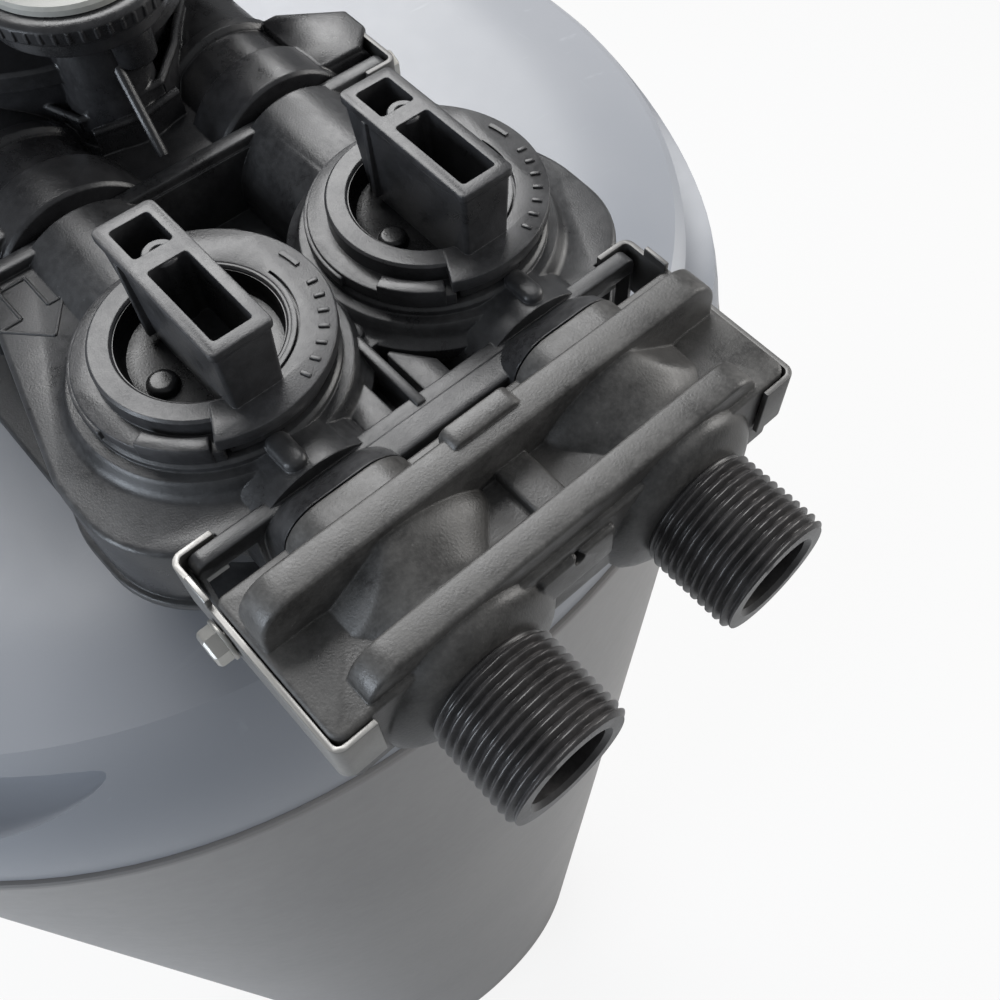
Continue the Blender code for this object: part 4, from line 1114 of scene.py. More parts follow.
    def lid(self) -> None:
        """The salt lid: a cap with rounded edges and a sunk panel, a finger lip and two knuckles."""
        grow, top = self.coaming + 1, self.deck + 14.3
        lid = soften(slab("salt_lid_shell", self.salt_plan(grow + 3), self.deck + 5, top - 0.3), 3.0, 4, 60)
        with editing(lid) as shape:
            for face in shape.faces:
                face.select = face.normal.z > 0.99 and face.calc_center_median().z > top - 1
            bmesh.update_edit_mesh(lid.data)
            bpy.ops.mesh.inset(thickness=9, depth=0)
            bpy.ops.mesh.inset(thickness=1.6, depth=-1.2)
        knuckles = [rod(f"knuckle_{side}", 4.5, (sign * self.hinge_x - 15, self.hinge_y, self.hinge_z), 30,
                        Axis.X, 28) for side, sign in SIDES]
        lip = soften(slab("lip", oblong(-24, 24, self.salt_front - 13.2, self.salt_front - 5, 5, 1),
                          self.deck + 6, self.deck + 9), 0.8, 2)
        combine(lid, [*knuckles, lip], Side.ADD)
        hollow = slab("lid_hollow", self.salt_plan(grow), self.deck, self.deck + 10.3)
        combine(lid, [hollow, *self.pin_holes()])
        self.settle(lid, DECK_SATIN, "lid", ["salt_lid"])

    def overflow(self) -> None:
        """The overflow elbow and its nut, on the side away from the camera."""
        wall = -self.half_width + self.wall_inset(930)
        far, bend = wall - 24.9, 12.4
        route = [(wall + 14, 930.0)]
        for step in range(9):
            angle = math.pi / 2 * step / 8
            route.append((far + bend - bend * math.sin(angle), 930 - bend + bend * math.cos(angle)))
        route.append((far, 900.0))
        elbow = swept("overflow_bend", [(x, self.middle, z) for x, z in route], 7.2, 20)
        flange = soften(rod("flange", 14, (wall - 4.2, self.middle, 930), 3, Axis.X, 48), 0.6, 2)
        elbow = joined("overflow_elbow_shape", [elbow, flange, *barbs(7.2, 2.6, (far, self.middle, 901))])
        self.settle(elbow, VALVE_BLACK, nodes=["overflow_elbow"])
        nut = rod("overflow_nut_shape", 14, (wall + 5.2, self.middle, 930), 6, Axis.X, 6)
        combine(soften(nut, 0.8, 2), [rod("nut_bore", 8.3, (wall, self.middle, 930), 30, Axis.X, 32)])
        self.settle(nut, VALVE_BLACK, nodes=["overflow_nut"])

    def build(self) -> None:
        """Makes every piece of the cabinet."""
        self.tub()
        self.cover()
        self.lid()
        self.overflow()


def barbs(radius: float, height: float, foot: Point) -> list[Piece]:
    """The three barbs of a hose stub, one above the other.

    Args:
        radius: of the stub.
        height: of a barb's slope.
        foot: the middle of the lowest barb's foot.

    Returns:
        The barbs.
    """
    profile = [(0, 0), (radius, 0), (8.0, height), (radius, height + 0.3), (0, height + 0.3)]
    return [turned(f"barb_{at}", profile, (foot[0], foot[1], foot[2] + 4 * at), steps=32)
            for at in range(3)]


def swept(name: str, points: Sequence[Point], radius: float, around: int = 12) -> Piece:
    """A round bar that follows points, as a mesh with closed ends.

    Args:
        name: the piece's name.
        points: the line that it follows.
        radius: its radius.
        around: the segments round it.

    Returns:
        The object.
    """
    clear_selection()
    line = bpy.data.curves.new(name, "CURVE")
    line.dimensions = "3D"
    line.bevel_depth = radius
    line.bevel_resolution = around // 4
    line.use_fill_caps = True
    spline = line.splines.new("POLY")
    spline.points.add(len(points) - 1)
    for spot, point in zip(spline.points, points):
        spot.co = (*point, 1.0)
    bar = bpy.data.objects.new(name, line)
    bpy.context.scene.collection.objects.link(bar)
    choose(bar)
    bpy.ops.object.convert(target="MESH")
    return fair(named(name))


@dataclass
class Bypass(Assembly):
    """The bypass casting between the valve and the manifold."""

    half: float = 75.0
    front: float = -62.2
    rear: float = 41.5
    top: float = 15.0
    bottom: float = -10.0
    tube: float = 21.5
    plate_half: float = 65.0
    plate_thick: float = 4.5

    def plan(self, grow: float) -> list[Point]:
        """The casting's plan, grown outwards."""
        half, rear, front = self.half + grow, 39.5 + grow, self.front + self.plate_thick - 1 - grow
        return [(-half + 14.5, front, 6), (half - 14.5, front, 6), (half + 0.8, 2, 34),
                (half, rear, 26 + grow), (-half, rear, 26 + grow), (-half - 0.8, 2, 34)]

    def chamber(self, side: str, sign: int) -> list[Piece]:
        """One chamber with its collar and the saddle behind it.

        Args:
            side: left or right.
            sign: its side.

        Returns:
            The solids to add.
        """
        x = sign * HALF_SPACING
        profile = [(0, 22), (29.2, 22), (30.0, 21.3), (30.0, 19.8), (32.4, 19.5), (33.2, 18.6),
                   (33.6, 16.8), (34.8, 15.4), (36.5, 14.6), (36.5, 10), (28, 8), (28, -28), (27, -29),
                   (0, -29)]
        ring = turned(f"chamber_{side}", profile, (x, 0, 0), steps=96)
        length = self.rear - self.front - 4
        line = rod(f"tube_{side}", self.tube, (x, self.front + 2, 0), length, Axis.Y, 64)
        levels = ((33.4, 13.4, 17.5), (37.0, 14.6, 17.2), (40.0, 17.6, 16.8), (43.0, 21.4, 16.4),
                  (46.0, 24.6, 16.0), (49.9, 26.8, 15.8))
        rings = [[(px, y, pz) for px, pz in rounded(tapered(x, (18, -20.3, 8), (half, top, 10)), 8)]
                 for y, top, half in levels]
        neck = loft(f"neck_{side}", rings)
        post_x = x + sign * 2.4
        post = slab(f"post_{side}", oblong(post_x - 2.9, post_x + 2.9, 27.3, 38.3, 2.7), 12.7, 23.6)
        return [ring, line, neck, soften(post, 1.4, 3, 50)]

    def arrow(self) -> Piece:
        """A raised outline of a flow arrow on the flat beside the left tube."""
        path = [(50.5, -55), (57.5, -55), (57.5, -44), (63, -44), (54, -34.5), (46.5, -44), (50.5, -44),
                (50.5, -55)]
        bars = [swept(f"arrow_{at}", [(*first, self.top), (*last, self.top)], 0.45, 8)
                for at, (first, last) in enumerate(zip(path, path[1:]))]
        return joined("bypass_arrow", bars)

    def body(self) -> None:
        """The casting as one piece."""
        body = soften(slab("bypass_casting", self.plan(0), self.bottom, self.top, 14), 1.6, 3, 50)
        hollow = [(x * 0.93, y * 0.9, max(radius - 4, 2)) for x, y, radius in self.plan(0)]
        combine(body, [slab("hollow", hollow, self.bottom - 1, self.top - 5, 6)])
        well = slab("front_well", tapered(0, (22, self.front + 5.3, 1), (15, -20, 3)),
                    -5.1, self.top + 4)
        dip = slab("rear_dip", oblong(-26, 26, 18, self.rear - 4.8, 4, 1),
                   6.3, self.top + 4)
        combine(body, [well, dip])
        rim = soften(slab("rim", self.plan(1.6), self.bottom - 0.6, self.bottom + 2.4, 14), 0.8, 2, 50)
        combine(rim, [slab("rim_hollow", hollow, self.bottom - 2, self.top, 6)])
        parts = [rim]
        for side, sign in SIDES:
            parts += self.chamber(side, sign)
        for name, low, high in (("rear", self.rear - self.plate_thick, self.rear),
                                ("front", self.front, self.front + self.plate_thick)):
            outline = oblong(-self.plate_half, self.plate_half, -7, 17.5, 1, 3)
            plate = slab(f"plate_{name}", outline, 0, high - low)
            parts.append(soften(upright(plate, low), 0.7, 2))
        parts.append(soften(block("joint_strip", (-30.0, 40.9, -6.2), (29.5, 48.3, 18.1)), 0.7, 2))
        parts.append(slab("front_floor", tapered(0, (24, -58.5, 1), (20, -15, 1)), -9.2, -4.7))
        parts.append(slab("rear_floor", oblong(-29, 29, 15, 38.4, 1), 2.1, 6.6))
        parts.append(soften(block("web_middle", (2.0, 15.2, 5.2), (4.7, 40.2, 18.2)), 0.6, 2))
        pads = (
            ("left", 15.6, [(8.7, 22.4, 0.8), (10.4, 22.0, 0.8), (17.1, 31.0, 1), (17.1, 39.2, 0.5),
                            (8.7, 39.2, 0.5)]),
            ("right", 15.6, [(-1.4, 22.0, 0.8), (-8.4, 31.2, 1), (-8.4, 39.4, 0.5), (-0.2, 39.4, 0.5),
                             (-0.2, 22.2, 0.8)]),
            ("outer", 16.6, [(18.3, 26.6, 1), (25.4, 24.6, 1), (27.2, 39.6, 0.5), (18.3, 39.6, 0.5)]))
        for side, high, plan in pads:
            parts.append(soften(slab(f"pad_{side}", plan, 5.4, high), 0.7, 2))
        gusset = slab("gusset", [(-1, -2, 1), (9, 13, 1), (0.5, 15, 1.5), (-6, 5, 1)], 8.3, 16.4)
        parts.append(soften(gusset, 1.0, 2))
        parts.append(turned("crescent", [(0, 6.0), (4.6, 6.0), (5.4, 5.2), (5.7, -5.4), (0, -5.4)],
                            (3.6, -40.5, 0), steps=40))
        combine(body, parts, Side.ADD)
        cuts = []
        for side, sign in SIDES:
            x = sign * HALF_SPACING
            cuts.append(rod(f"room_{side}", 22, (x, 0, -25), 60, steps=62))
            cuts.append(rod(f"way_{side}", WAY_RADIUS, (x, -75, 0), 140, Axis.Y, 46))
            cuts.append(rod(f"socket_{side}", SOCKET_RADIUS, (x, 41, 0), 20, Axis.Y, 44))
            cuts.append(rod(f"front_socket_{side}", SOCKET_RADIUS, (x, -77, 0), 23.4, Axis.Y, 42))
            x_low, x_high = sorted((sign * 51.0, sign * 63.6))
            cuts.append(block("undercut", (x_low, 30.5, -13), (x_high, 46, 12.3)))
            for low, high in ((35.0, 37.0), (-57.7, -55.7)):
                x_low, x_high = sorted((sign * 56.6, sign * 90))
                cuts.append(block("clip_room", (x_low, low, 1.7), (x_high, high, 40)))
        combine(body, cuts)
        self.settle(body, BYPASS_BLACK, nodes=["bypass_body"], angle=30)
        self.settle(self.arrow(), BYPASS_BLACK)

    def build(self) -> None:
        """Makes the casting."""
        self.body()


@dataclass
class Knob(Assembly):
    """One bypass knob: dished cap, lower ring, marked flange sector and hollow lever handle."""

    side: str = "left"
    sign: int = 1
    low: float = 22.3
    cap: float = 24.5
    cap_top: float = 31.0
    dish: float = 19.0
    floor: float = 23.9
    flange: float = 30.4
    handle_half: float = 7.1
    handle_front: float = -19.8
    handle_rear: float = 24.0
    handle_top: float = 51.7
    wall: float = 2.6

    def disc(self) -> Piece:
        """The dished cap, the lower ring, the flange sector and the tab."""
        cap = turned("knob_disc", [(0, self.floor), (self.dish - 3, self.floor),
                                   (self.dish - 1.2, self.floor + 0.5), (self.dish - 0.3, self.floor + 1.8),
                                   (self.dish, self.cap_top - 0.5), (self.dish + 0.5, self.cap_top),
                                   (self.cap - 0.6, self.cap_top), (self.cap, self.cap_top - 0.6),
                                   (self.cap, self.low), (0, self.low)], steps=112)
        ring = sector("ring", (self.cap - 1, self.flange - 0.9), (252, 424), (self.low + 0.05, 26.0), 70)
        step = sector("ring_step", (self.cap - 1.3, self.flange), (253, 368), (self.low + 0.12, 25.2), 60)
        flange = sector("flange", (self.dish + 1, self.flange), (62, 258),
                        (self.cap_top - 3.4, self.cap_top + 0.25), 84)
        lip = sector("lip", (self.cap - 0.7, self.flange - 2.2), (66, 249),
                     (self.low + 0.4, self.cap_top - 3.0), 84)
        tab = sector("tab", (self.cap + 1.6, self.flange - 0.6), (27, 59),
                     (self.low + 0.2, self.cap_top - 2.9), 20)
        groove = sector("groove", (self.cap - 3.2, self.cap - 2.5), (74, 190),
                        (self.cap_top - 1.2, self.cap_top + 2), 60)
        parts = [soften(part, 0.4, 2, 50) for part in (ring, step, flange, lip, tab)]
        return combine(combine(cap, parts, Side.ADD), [groove])

    def handle(self) -> Piece:
        """The hollow lever with its lip, two pockets, the boss between them and the side ribs."""
        half, front, rear, top = self.handle_half, self.handle_front, self.handle_rear, self.handle_top
        body = slab("handle", oblong(-half, half, front, rear, 1.6, 1.2),
                    self.floor - 1, top - 0.3, 4)
        with editing(body) as shape:
            for vertex in shape.verts:
                if vertex.co.z < self.floor:
                    vertex.co.x *= 0.86
                    vertex.co.y = vertex.co.y + 4.0 if vertex.co.y < 0 else vertex.co.y - 1.2
        edge = oblong(-half - 0.5, half + 0.5, front - 0.5, rear + 0.5, 1.8, 1.4)
        lip = slab("handle_lip", edge, top - 2.4, top, 4)
        parts = [soften(lip, 0.45, 2, 50)]
        for end in (-1, 1):
            low, high = sorted((end * (half - 2), end * (half + 0.9)))
            parts.append(soften(block(f"rib_{end + 2}", (low, -11.5, self.floor + 2),
                                      (high, -9.9, top - 2)), 0.4, 2))
        combine(soften(body, 0.5, 2, 50), parts, Side.ADD)
        inner = half - self.wall + 0.3
        pockets = []
        for start, end in ((front + self.wall, -7.0), (-2.6, rear - self.wall)):
            pockets.append(slab("pocket", oblong(-inner, inner, start, end, 0.9), 33, top + 2, 3))
        combine(body, pockets)
        boss = turned("boss", [(0, 32.4), (4.0, 32.4), (4.0, top - 0.9), (3.6, top - 0.4), (2.2, top - 0.4),
                               (1.6, top - 1.4), (1.6, top - 9), (0, top - 9)], (-0.5, -5.9, 0), steps=40)
        return combine(body, [boss], Side.ADD)

    def ticks(self) -> Piece:
        """Plain raised dashes on the flange, in place of lettering."""
        marks = []
        for at in range(7):
            angle = math.radians(112 + at * 9.5)
            mark = soften(block("tick", (-0.55, -1.3, self.cap_top), (0.55, 1.3, self.cap_top + 0.75)),
                          0.25, 2)
            turn = Matrix.Rotation(angle - math.pi / 2, 4, "Z")
            mark.data.transform(turn @ Matrix.Translation((0, 27.4, 0)))
            marks.append(mark)
        bar = sector("bar", (26.8, 28.0), (182, 194), (self.cap_top, self.cap_top + 0.7), 8)
        return joined(f"knob_ticks_{self.side}", [*marks, bar])

    def build(self) -> None:
        """Makes the knob, the painted-shade lining of its dish, and its marks."""
        centre = (self.sign * HALF_SPACING, 0, 0)
        knob = combine(self.disc(), [self.handle()], Side.ADD)
        knob.name = knob.data.name = f"knob_{self.side}_shape"
        body = f"knob_{self.side}"
        self.settle(moved(knob, centre), KNOB_BLACK, body, [f"bypass_knob_{self.side}"])
        # The dish is lined with a thin shell just above its floor, in a near-black copy of the knob
        # plastic: painted shade in the hollow. The boss in the dish takes it too.
        low, edge = self.floor + 0.2, self.dish - 0.25
        pit = turned(f"knob_pit_{self.side}", [(0, low), (edge - 3, low), (edge - 1.2, low + 0.5),
                                               (edge - 0.3, low + 1.8), (edge, self.cap_top - 0.8),
                                               (edge + 0.6, self.cap_top - 0.8), (edge + 0.6, low - 0.7),
                                               (0, low - 0.7)], steps=112)
        boss = turned("dish_boss", [(0, 23), (4.2, 23), (3.5, 25.6), (2.6, 26.3), (0, 26.3)],
                      (12.6, 2.0, 0), steps=28)
        pit = joined(f"knob_pit_{self.side}", [pit, soften(boss, 0.4, 2)])
        self.settle(moved(pit, centre), DISH_SHADE_BLACK, body)
        self.settle(moved(self.ticks(), centre), KNOB_BLACK, body)


@dataclass
class Manifold(Assembly):
    """The twin-port manifold: plate, two ridges, swelling tubes and threaded ends."""

    front: float = 50.3
    plate_half: float = 66.0
    plate_top: float = 19.4
    plate_rear: float = 91.0
    bottom: float = -7.0
    crest: float = 16.65
    root: float = 15.2
    pitch: float = 2.31
    facet: float = 26.3
    thread_start: float = 95.2
    port_end: float = 121.7

    def ridge(self, name: str, half: float, top: float, near: float, thick: float) -> Piece:
        """An upright rib across the manifold.

        Args:
            name: the piece's name.
            half: half its width.
            top: its top.
            near: its face towards the valve.
            thick: its thickness.

        Returns:
            The rib.
        """
        rib = slab(name, oblong(-half, half, self.bottom + 1, top, 1, 9), 0, thick, 10)
        return soften(upright(rib, near), 1.1, 3, 50)

    def tube(self, side: str, sign: int) -> Piece:
        """One swelling tube, from the joint to the root of its thread."""
        profile = [(0, 60.3), (30.5, 60.3), (30.5, 67.0)]
        for step in range(1, 17):
            way = step / 16
            profile.append((24.2 + 6.3 * (0.5 + 0.5 * math.cos(math.pi * way)), 67 + 15 * way))
        profile += [(24.0, 90.0), (23.4, 91.6), (21.8, 93.0), (19.0, 94.6), (15.0, 95.6), (15.0, 97),
                    (0, 97)]
        tube = turned(f"tube_{side}", profile, steps=120, axis=Axis.Y)
        flat = Vector((sign * 0.59, 0, 0.807))
        for vertex in tube.data.vertices:
            over = vertex.co.dot(flat) - self.facet
            if over > 0 and 67.2 < vertex.co.y < 83:
                vertex.co -= flat * over
        return moved(tube, (sign * HALF_SPACING, 0, 0))

    def port(self, side: str, sign: int, around: int = 84, fine: int = 12) -> Piece:
        """One threaded port with a helical thread.

        Args:
            side: left or right.
            sign: its side.
            around: the segments round it.
            fine: the levels in one pitch.

        Returns:
            The port.
        """
        length = self.port_end - self.thread_start
        count = round(length / self.pitch * fine)
        profile = [(WAY_RADIUS, 0.0), (self.root, 0.0)]
        profile += [(self.root, length * at / count) for at in range(1, count + 1)]
        profile += [(WAY_RADIUS + 1.2, length), (WAY_RADIUS, length - 1.2)]
        port = turned(f"port_{side}", profile, steps=around)
        for vertex in port.data.vertices:
            x, y, z = vertex.co
            if math.hypot(x, y) < self.root - 0.5 or z < 0.01:
                continue
            phase = (z / self.pitch - math.atan2(y, x) / (2 * math.pi)) % 1
            tooth = min(1.0, max(0.0, (0.5 - abs(phase - 0.5)) * 2.6 - 0.12))
            fade = min(1.0, z / self.pitch) * min(1.0, max(0.0, (length - z) / 1.4) * 0.7 + 0.3)
            reach = self.root + (self.crest - self.root) * tooth * fade
            scale = reach / math.hypot(x, y)
            vertex.co = (x * scale, y * scale, z)
        port.data.transform(Euler(Axis.Y.value).to_matrix().to_4x4())
        return moved(port, (sign * HALF_SPACING, self.thread_start, 0))

    def body(self) -> None:
        """The casting without its threads."""
        half, rear = self.plate_half, self.plate_rear
        plan = oblong(-half, half, self.front, rear, 2, 3)
        body = soften(slab("manifold_casting", plan, self.bottom, self.plate_top, 8), 1.0, 3, 50)
        parts = [self.ridge("front_ridge", 64.8, 33.0, 59.0, 8.5),
                 self.ridge("back_ridge", 57.0, 26.0, 81.5, 8.0)]
        parts += [self.tube(side, sign) for side, sign in SIDES]
        for side, sign in SIDES:
            x = sign * HALF_SPACING
            arch = slab(f"arch_{side}", tapered(x, (18, -6.2, 2), (15.8, 27.1, 10)), 0, 10.8)
            parts.append(soften(upright(arch, 50.35), 0.5, 2, 50))
        tab = upright(slab("tab", oblong(-7, 12, 20, 34.4, 1, 2.5), 0, 5.5), 57.6)
        parts.append(soften(tab, 0.6, 2))
        parts.append(soften(block("lug", (-4, 63, 15), (5, 83, 22.4)), 1.0, 3))
        parts.append(soften(block("rear_lug", (-8, 86, 4), (14, 92.6, 16)), 1.0, 3))
        combine(body, parts, Side.ADD)
        cuts = [rod("gate", 1.6, (3, 88, 14.5), 8, Axis.Y, 20)]
        for side, sign in SIDES:
            x = sign * HALF_SPACING
            cuts.append(rod(f"way_{side}", WAY_RADIUS, (x, 40, 0), 70, Axis.Y, 64))
            cuts.append(rod(f"socket_{side}", SOCKET_RADIUS, (x, 40, 0), 19.3, Axis.Y, 48))
            cuts.append(rod(f"screw_{side}", SCREW_HOLE,
                            (sign * half - (13 if sign > 0 else 1), 53.2, SCREW_Z), 14, Axis.X, 20))
        combine(body, cuts)
        self.settle(body, MANIFOLD_BLACK, nodes=["manifold"], angle=30)

    def build(self) -> None:
        """Makes the casting and both ports."""
        self.body()
        for side, sign in SIDES:
            self.settle(self.port(side, sign), THREAD_BLACK, angle=40)


@dataclass
class Clips(Assembly):
    """The four stamped clips and their hex screws."""

    thick: float = 1.5
    low: float = 2.0
    high: float = 18.0
    back: float = 9.0

    def clip(self, name: str, sign: int, half: float, near: float, far: float, screw_y: float) -> None:
        """One clip with its screw.

        Args:
            name: the clip's CAD node.
            sign: its side.
            half: half the width of the plates that it hugs.
            near: its face towards the valve.
            far: its face towards the ports.
            screw_y: the screw's place.
        """
        inner, thick = half + 0.3, self.thick
        outer, tip = inner + thick, inner - self.back
        corners = [(outer, near, 3.0), (outer, far, 3.0), (tip, far, 0.3), (tip, far - thick, 0.3),
                   (inner, far - thick, 1.5), (inner, near + thick, 1.5), (tip, near + thick, 0.3),
                   (tip, near, 0.3)]
        shape = slab(f"{name}_strap", [(sign * x, y, radius) for x, y, radius in corners], self.low,
                     self.high, 6)
        soften(shape, 0.25, 2, 50)
        tall = self.high + (2.6 if near > 0 else -0.6)
        hump_low, hump_high = sorted((sign * inner + sign * 0.05, sign * outer - sign * 0.05))
        start = screw_y - 10.5
        hump = upright(slab("hump", oblong(hump_low, hump_high, self.high - 2, tall, 0, 0.4), 0, 7.5),
                       start)
        combine(shape, [soften(hump, 0.3, 2)], Side.ADD)
        combine(shape, [rod("hole", SCREW_HOLE, (sign * outer - 5, screw_y, SCREW_Z), 10, Axis.X, 24)])
        # The rear left clip takes the clip steel and the other three take a darker copy of it, as painted
        # shade.
        self.settle(shape, CLIP_STEEL if near > 0 and sign > 0 else SHADED_CLIP_STEEL, nodes=[name])
        face = sign * (outer + 0.3)
        head = turned("head", [(0, 4.5), (3.7, 4.5), (4.4, 4.0), (4.6, 3.4), (4.6, 0.9), (0, 0.9)], steps=6)
        washer = soften(rod("washer", 5.2, (0, 0, 0), 1.0, steps=40), 0.3, 2)
        shank = rod("shank", 1.8, (0, 0, -11), 11.2, steps=24)
        screw = joined(f"{name}_hex", [head, washer, shank])
        screw.data.transform(Matrix.Rotation(math.radians(90) * sign, 4, "Y"))
        moved(screw, (face, screw_y, SCREW_Z))
        self.settle(screw, BRIGHT_STEEL, nodes=[name.replace("clip", "clip_screw")])

    def build(self) -> None:
        """Makes all four clips."""
        for side, sign in SIDES:
            self.clip(f"clip_rear_{side}", sign, 66.0, 35.2, 92.8, 53.2)
            self.clip(f"clip_front_{side}", sign, 65.0, -80.8, -55.9, -65.7)


@dataclass
class Valve(Assembly):
    """The valve casting with its drum, boss, rod and ribs, and the plate under the group."""

    middle: float = -137.0
    tube: float = 21.5
    drum_y: float = -94.0
    drum_top: float = 52.0
    ear_front: float = -79.0

    def casting(self) -> None:
        """The valve casting."""
        barrel = turned("valve_casting", [(0, 34), (44.2, 34), (45, 33.2), (45, 28.6), (44.2, 28), (42, 27),
                                          (41, 25), (41, -24), (42.5, -27.5), (45.2, -30), (46, -31),
                                          (46, -45), (0, -45)], (0, self.middle, 0), steps=96)
        parts, extras = [], []
        for side, sign in SIDES:
            x = sign * HALF_SPACING
            low, high = sorted((sign * 65, sign * 42))
            ear = upright(slab(f"ear_{side}", oblong(low, high, -7, 17.2, 2, 5), 0, 13.5),
                          self.ear_front)
            hole = rod(f"screw_{side}", SCREW_HOLE, (sign * 65 - (13 if sign > 0 else 1), -65.7, SCREW_Z),
                       14, Axis.X, 20)
            extras.append(combine(soften(ear, 1.2, 3, 50), [hole]))
            plan = [(46, -93, 1), (51.5, -93, 1.5), (68.0, -81.4, 1.5), (68.0, -72, 2), (61.5, -65.9, 1),
                    (46, -65.9, 1)]
            brow = slab(f"brow_{side}", [(sign * px, py, radius) for px, py, radius in plan], 12.2, 18.9)
            extras.append(soften(brow, 1.0, 2, 50))
            parts.append(rod(f"tube_{side}", self.tube, (x, self.middle + 3, 0), 60, Axis.Y, 72))
            parts.append(turned(f"collar_{side}", [(0, -80), (21.2, -80), (22.6, -79), (24.0, -77.4),
                                                   (24.3, -72), (24.3, -64), (23.6, -63), (0, -63)],
                                (x, 0, 0), Axis.Y, 72))
            parts.append(turned(f"bead_{side}", [(0, -96), (22.0, -96), (23.4, -95), (23.4, -92),
                                                 (22.0, -91), (0, -91)], (x, 0, 0), Axis.Y, 72))
        extras.append(turned("drum", [(0, 52), (21.4, 52), (22, 51.4), (22, 47.5), (15, 44), (11.5, 40),
                                      (12, 22), (16, 6), (16, -12), (0, -12)], (0, self.drum_y, 0),
                             steps=72))
        ribs = {"left": [(18.9, -105.2), (16.3, -99.3), (13.0, -89.8), (3.7, -87.6)],
                "low": [(13.1, -83.3), (3.3, -81.2), (-1.7, -80.9), (-12.5, -83.1)],
                "right": [(-31.8, -109.0), (-24.5, -100.5), (-20.1, -94.6), (-9.2, -84.0), (-1.9, -83.6)]}
        for name, route in ribs.items():
            high = 23.6 if name == "right" else 19.4
            extras.append(swept(f"rib_{name}", [(x, y, high) for x, y in route], 1.1, 8))
            for at, (first, last) in enumerate(zip(route, route[1:])):
                along = (Vector(last) - Vector(first)).normalized()
                across = Vector((-along.y, along.x)) * 0.8
                wall = [Vector(first) - across, Vector(last) - across, Vector(last) + across,
                        Vector(first) + across]
                extras.append(slab(f"rib_{name}_{at}", [(*corner, 0) for corner in wall], 7,
                                   high + 0.3 - 0.07 * at))
        web = slab("valve_web", oblong(-32, 32, -100, -66, 4), -6, 12)
        parts.append(soften(web, 1.5, 3, 50))
        combine(barrel, parts, Side.ADD)
        cuts = [rod(f"way_{side}", WAY_RADIUS, (sign * HALF_SPACING, -131, 0), 80, Axis.Y, 40)
                for side, sign in SIDES]
        cuts += [rod(f"socket_{side}", SOCKET_RADIUS, (sign * HALF_SPACING, -71.8, 0), 20, Axis.Y, 40)
                 for side, sign in SIDES]
        combine(barrel, cuts)
        extras += [turned("drain_boss", [(0, 28), (15, 28), (13.4, 60.6), (12.6, 62), (0, 62)],
                         (0, self.middle - 12, 6), Axis.X, 48)]
        extras.append(turned("injector_boss", [(0, -58), (13, -58), (15, -28), (0, -28)],
                             (0, self.middle - 12, 6), Axis.X, 48))
        self.settle(joined("valve_casting", [barrel, *extras]), VALVE_BLACK, nodes=["valve_body"], angle=30)

    def drum_fittings(self) -> None:
        """The pale ribbed cap on the drum, the boss under it and the slender rod."""
        low = self.drum_top + 0.3
        cap = turned("drum_cap_shape", [(0, low + 5.4), (22.6, low + 5.4), (24.2, low + 5.0),
                                        (25, low + 4.2), (24.6, low + 0.4), (24.2, low), (0, low)],
                     (0, self.drum_y, 0), steps=96)
        ribs = []
        for at in range(48):
            rib = block("rib", (-0.35, 24.0, low + 1.0), (0.35, 25.15, low + 3.8))
            rib.data.transform(Matrix.Rotation(math.tau * at / 48, 4, "Z"))
            ribs.append(moved(rib, (0, self.drum_y, 0)))
        self.settle(joined("drum_cap_shape", [cap, *ribs]), VALVE_BLACK, nodes=["drum_cap"])
        disc = turned("drum_cap_disc", [(0, low + 7.6), (18.6, low + 8.1), (20.2, low + 7.8),
                                        (20.9, low + 7.0), (20.9, low + 5.6), (0, low + 5.6)],
                      (0, self.drum_y, 0), steps=96)
        self.settle(disc, CAP_GREY)
        boss = turned("rod_boss", [(0, 50), (7.2, 50), (7.4, 49), (6.8, 33.6), (5.8, 32.4), (0, 32.4)],
                      (-5.2, -86.4, 0), steps=40)
        stick = swept("rod_stick", [(-0.6, -86.0, 37), (0.4, -84.0, 34.5), (2.6, -68.0, 16.0)], 1.5, 12)
        self.settle(joined("valve_rod", [boss, stick]), VALVE_BLACK)

    def deck_plate(self) -> None:
        """The raised black plate on the deck."""
        plan = oblong(-74, 74, -192, 25, 38)
        plate = soften(slab("deck_plate_shape", plan, -49.7, -46.7, 20), 1.2, 3, 50)
        combine(plate, [rod("hole", 47, (0, self.middle, -60), 20, steps=64)])
        self.settle(plate, BYPASS_BLACK, nodes=["deck_plate"])

    def side_fittings(self) -> None:
        """The drain elbow and the injector cap."""
        y = self.middle - 12
        elbow = soften(rod("drain_elbow_shape", 11, (62.3, y, 6), 10, Axis.X, 8), 0.6, 2)
        bend = [(70, y, 6), (78, y, 6)]
        bend += [(78 + 5.3 * math.sin(math.radians(t)), y, 0.7 + 5.3 * math.cos(math.radians(t)))
                 for t in range(15, 91, 15)]
        bend.append((83.3, y, -20))
        stem = swept("stem", bend, 7.4, 20)
        self.settle(joined("drain_elbow_shape", [elbow, stem, *barbs(7.4, 2.4, (83.3, y, -20))]), HEAD_DARK,
                    nodes=["drain_elbow"])
        cap = soften(rod("injector_cap_shape", 16.5, (-66.3, y, 6), 8, Axis.X, 8), 1.0, 3)
        self.settle(cap, HEAD_DARK, nodes=["injector_cap"])

    def build(self) -> None:
        """Makes the valve's pieces."""
        self.casting()
        self.drum_fittings()
        self.deck_plate()
        self.side_fittings()


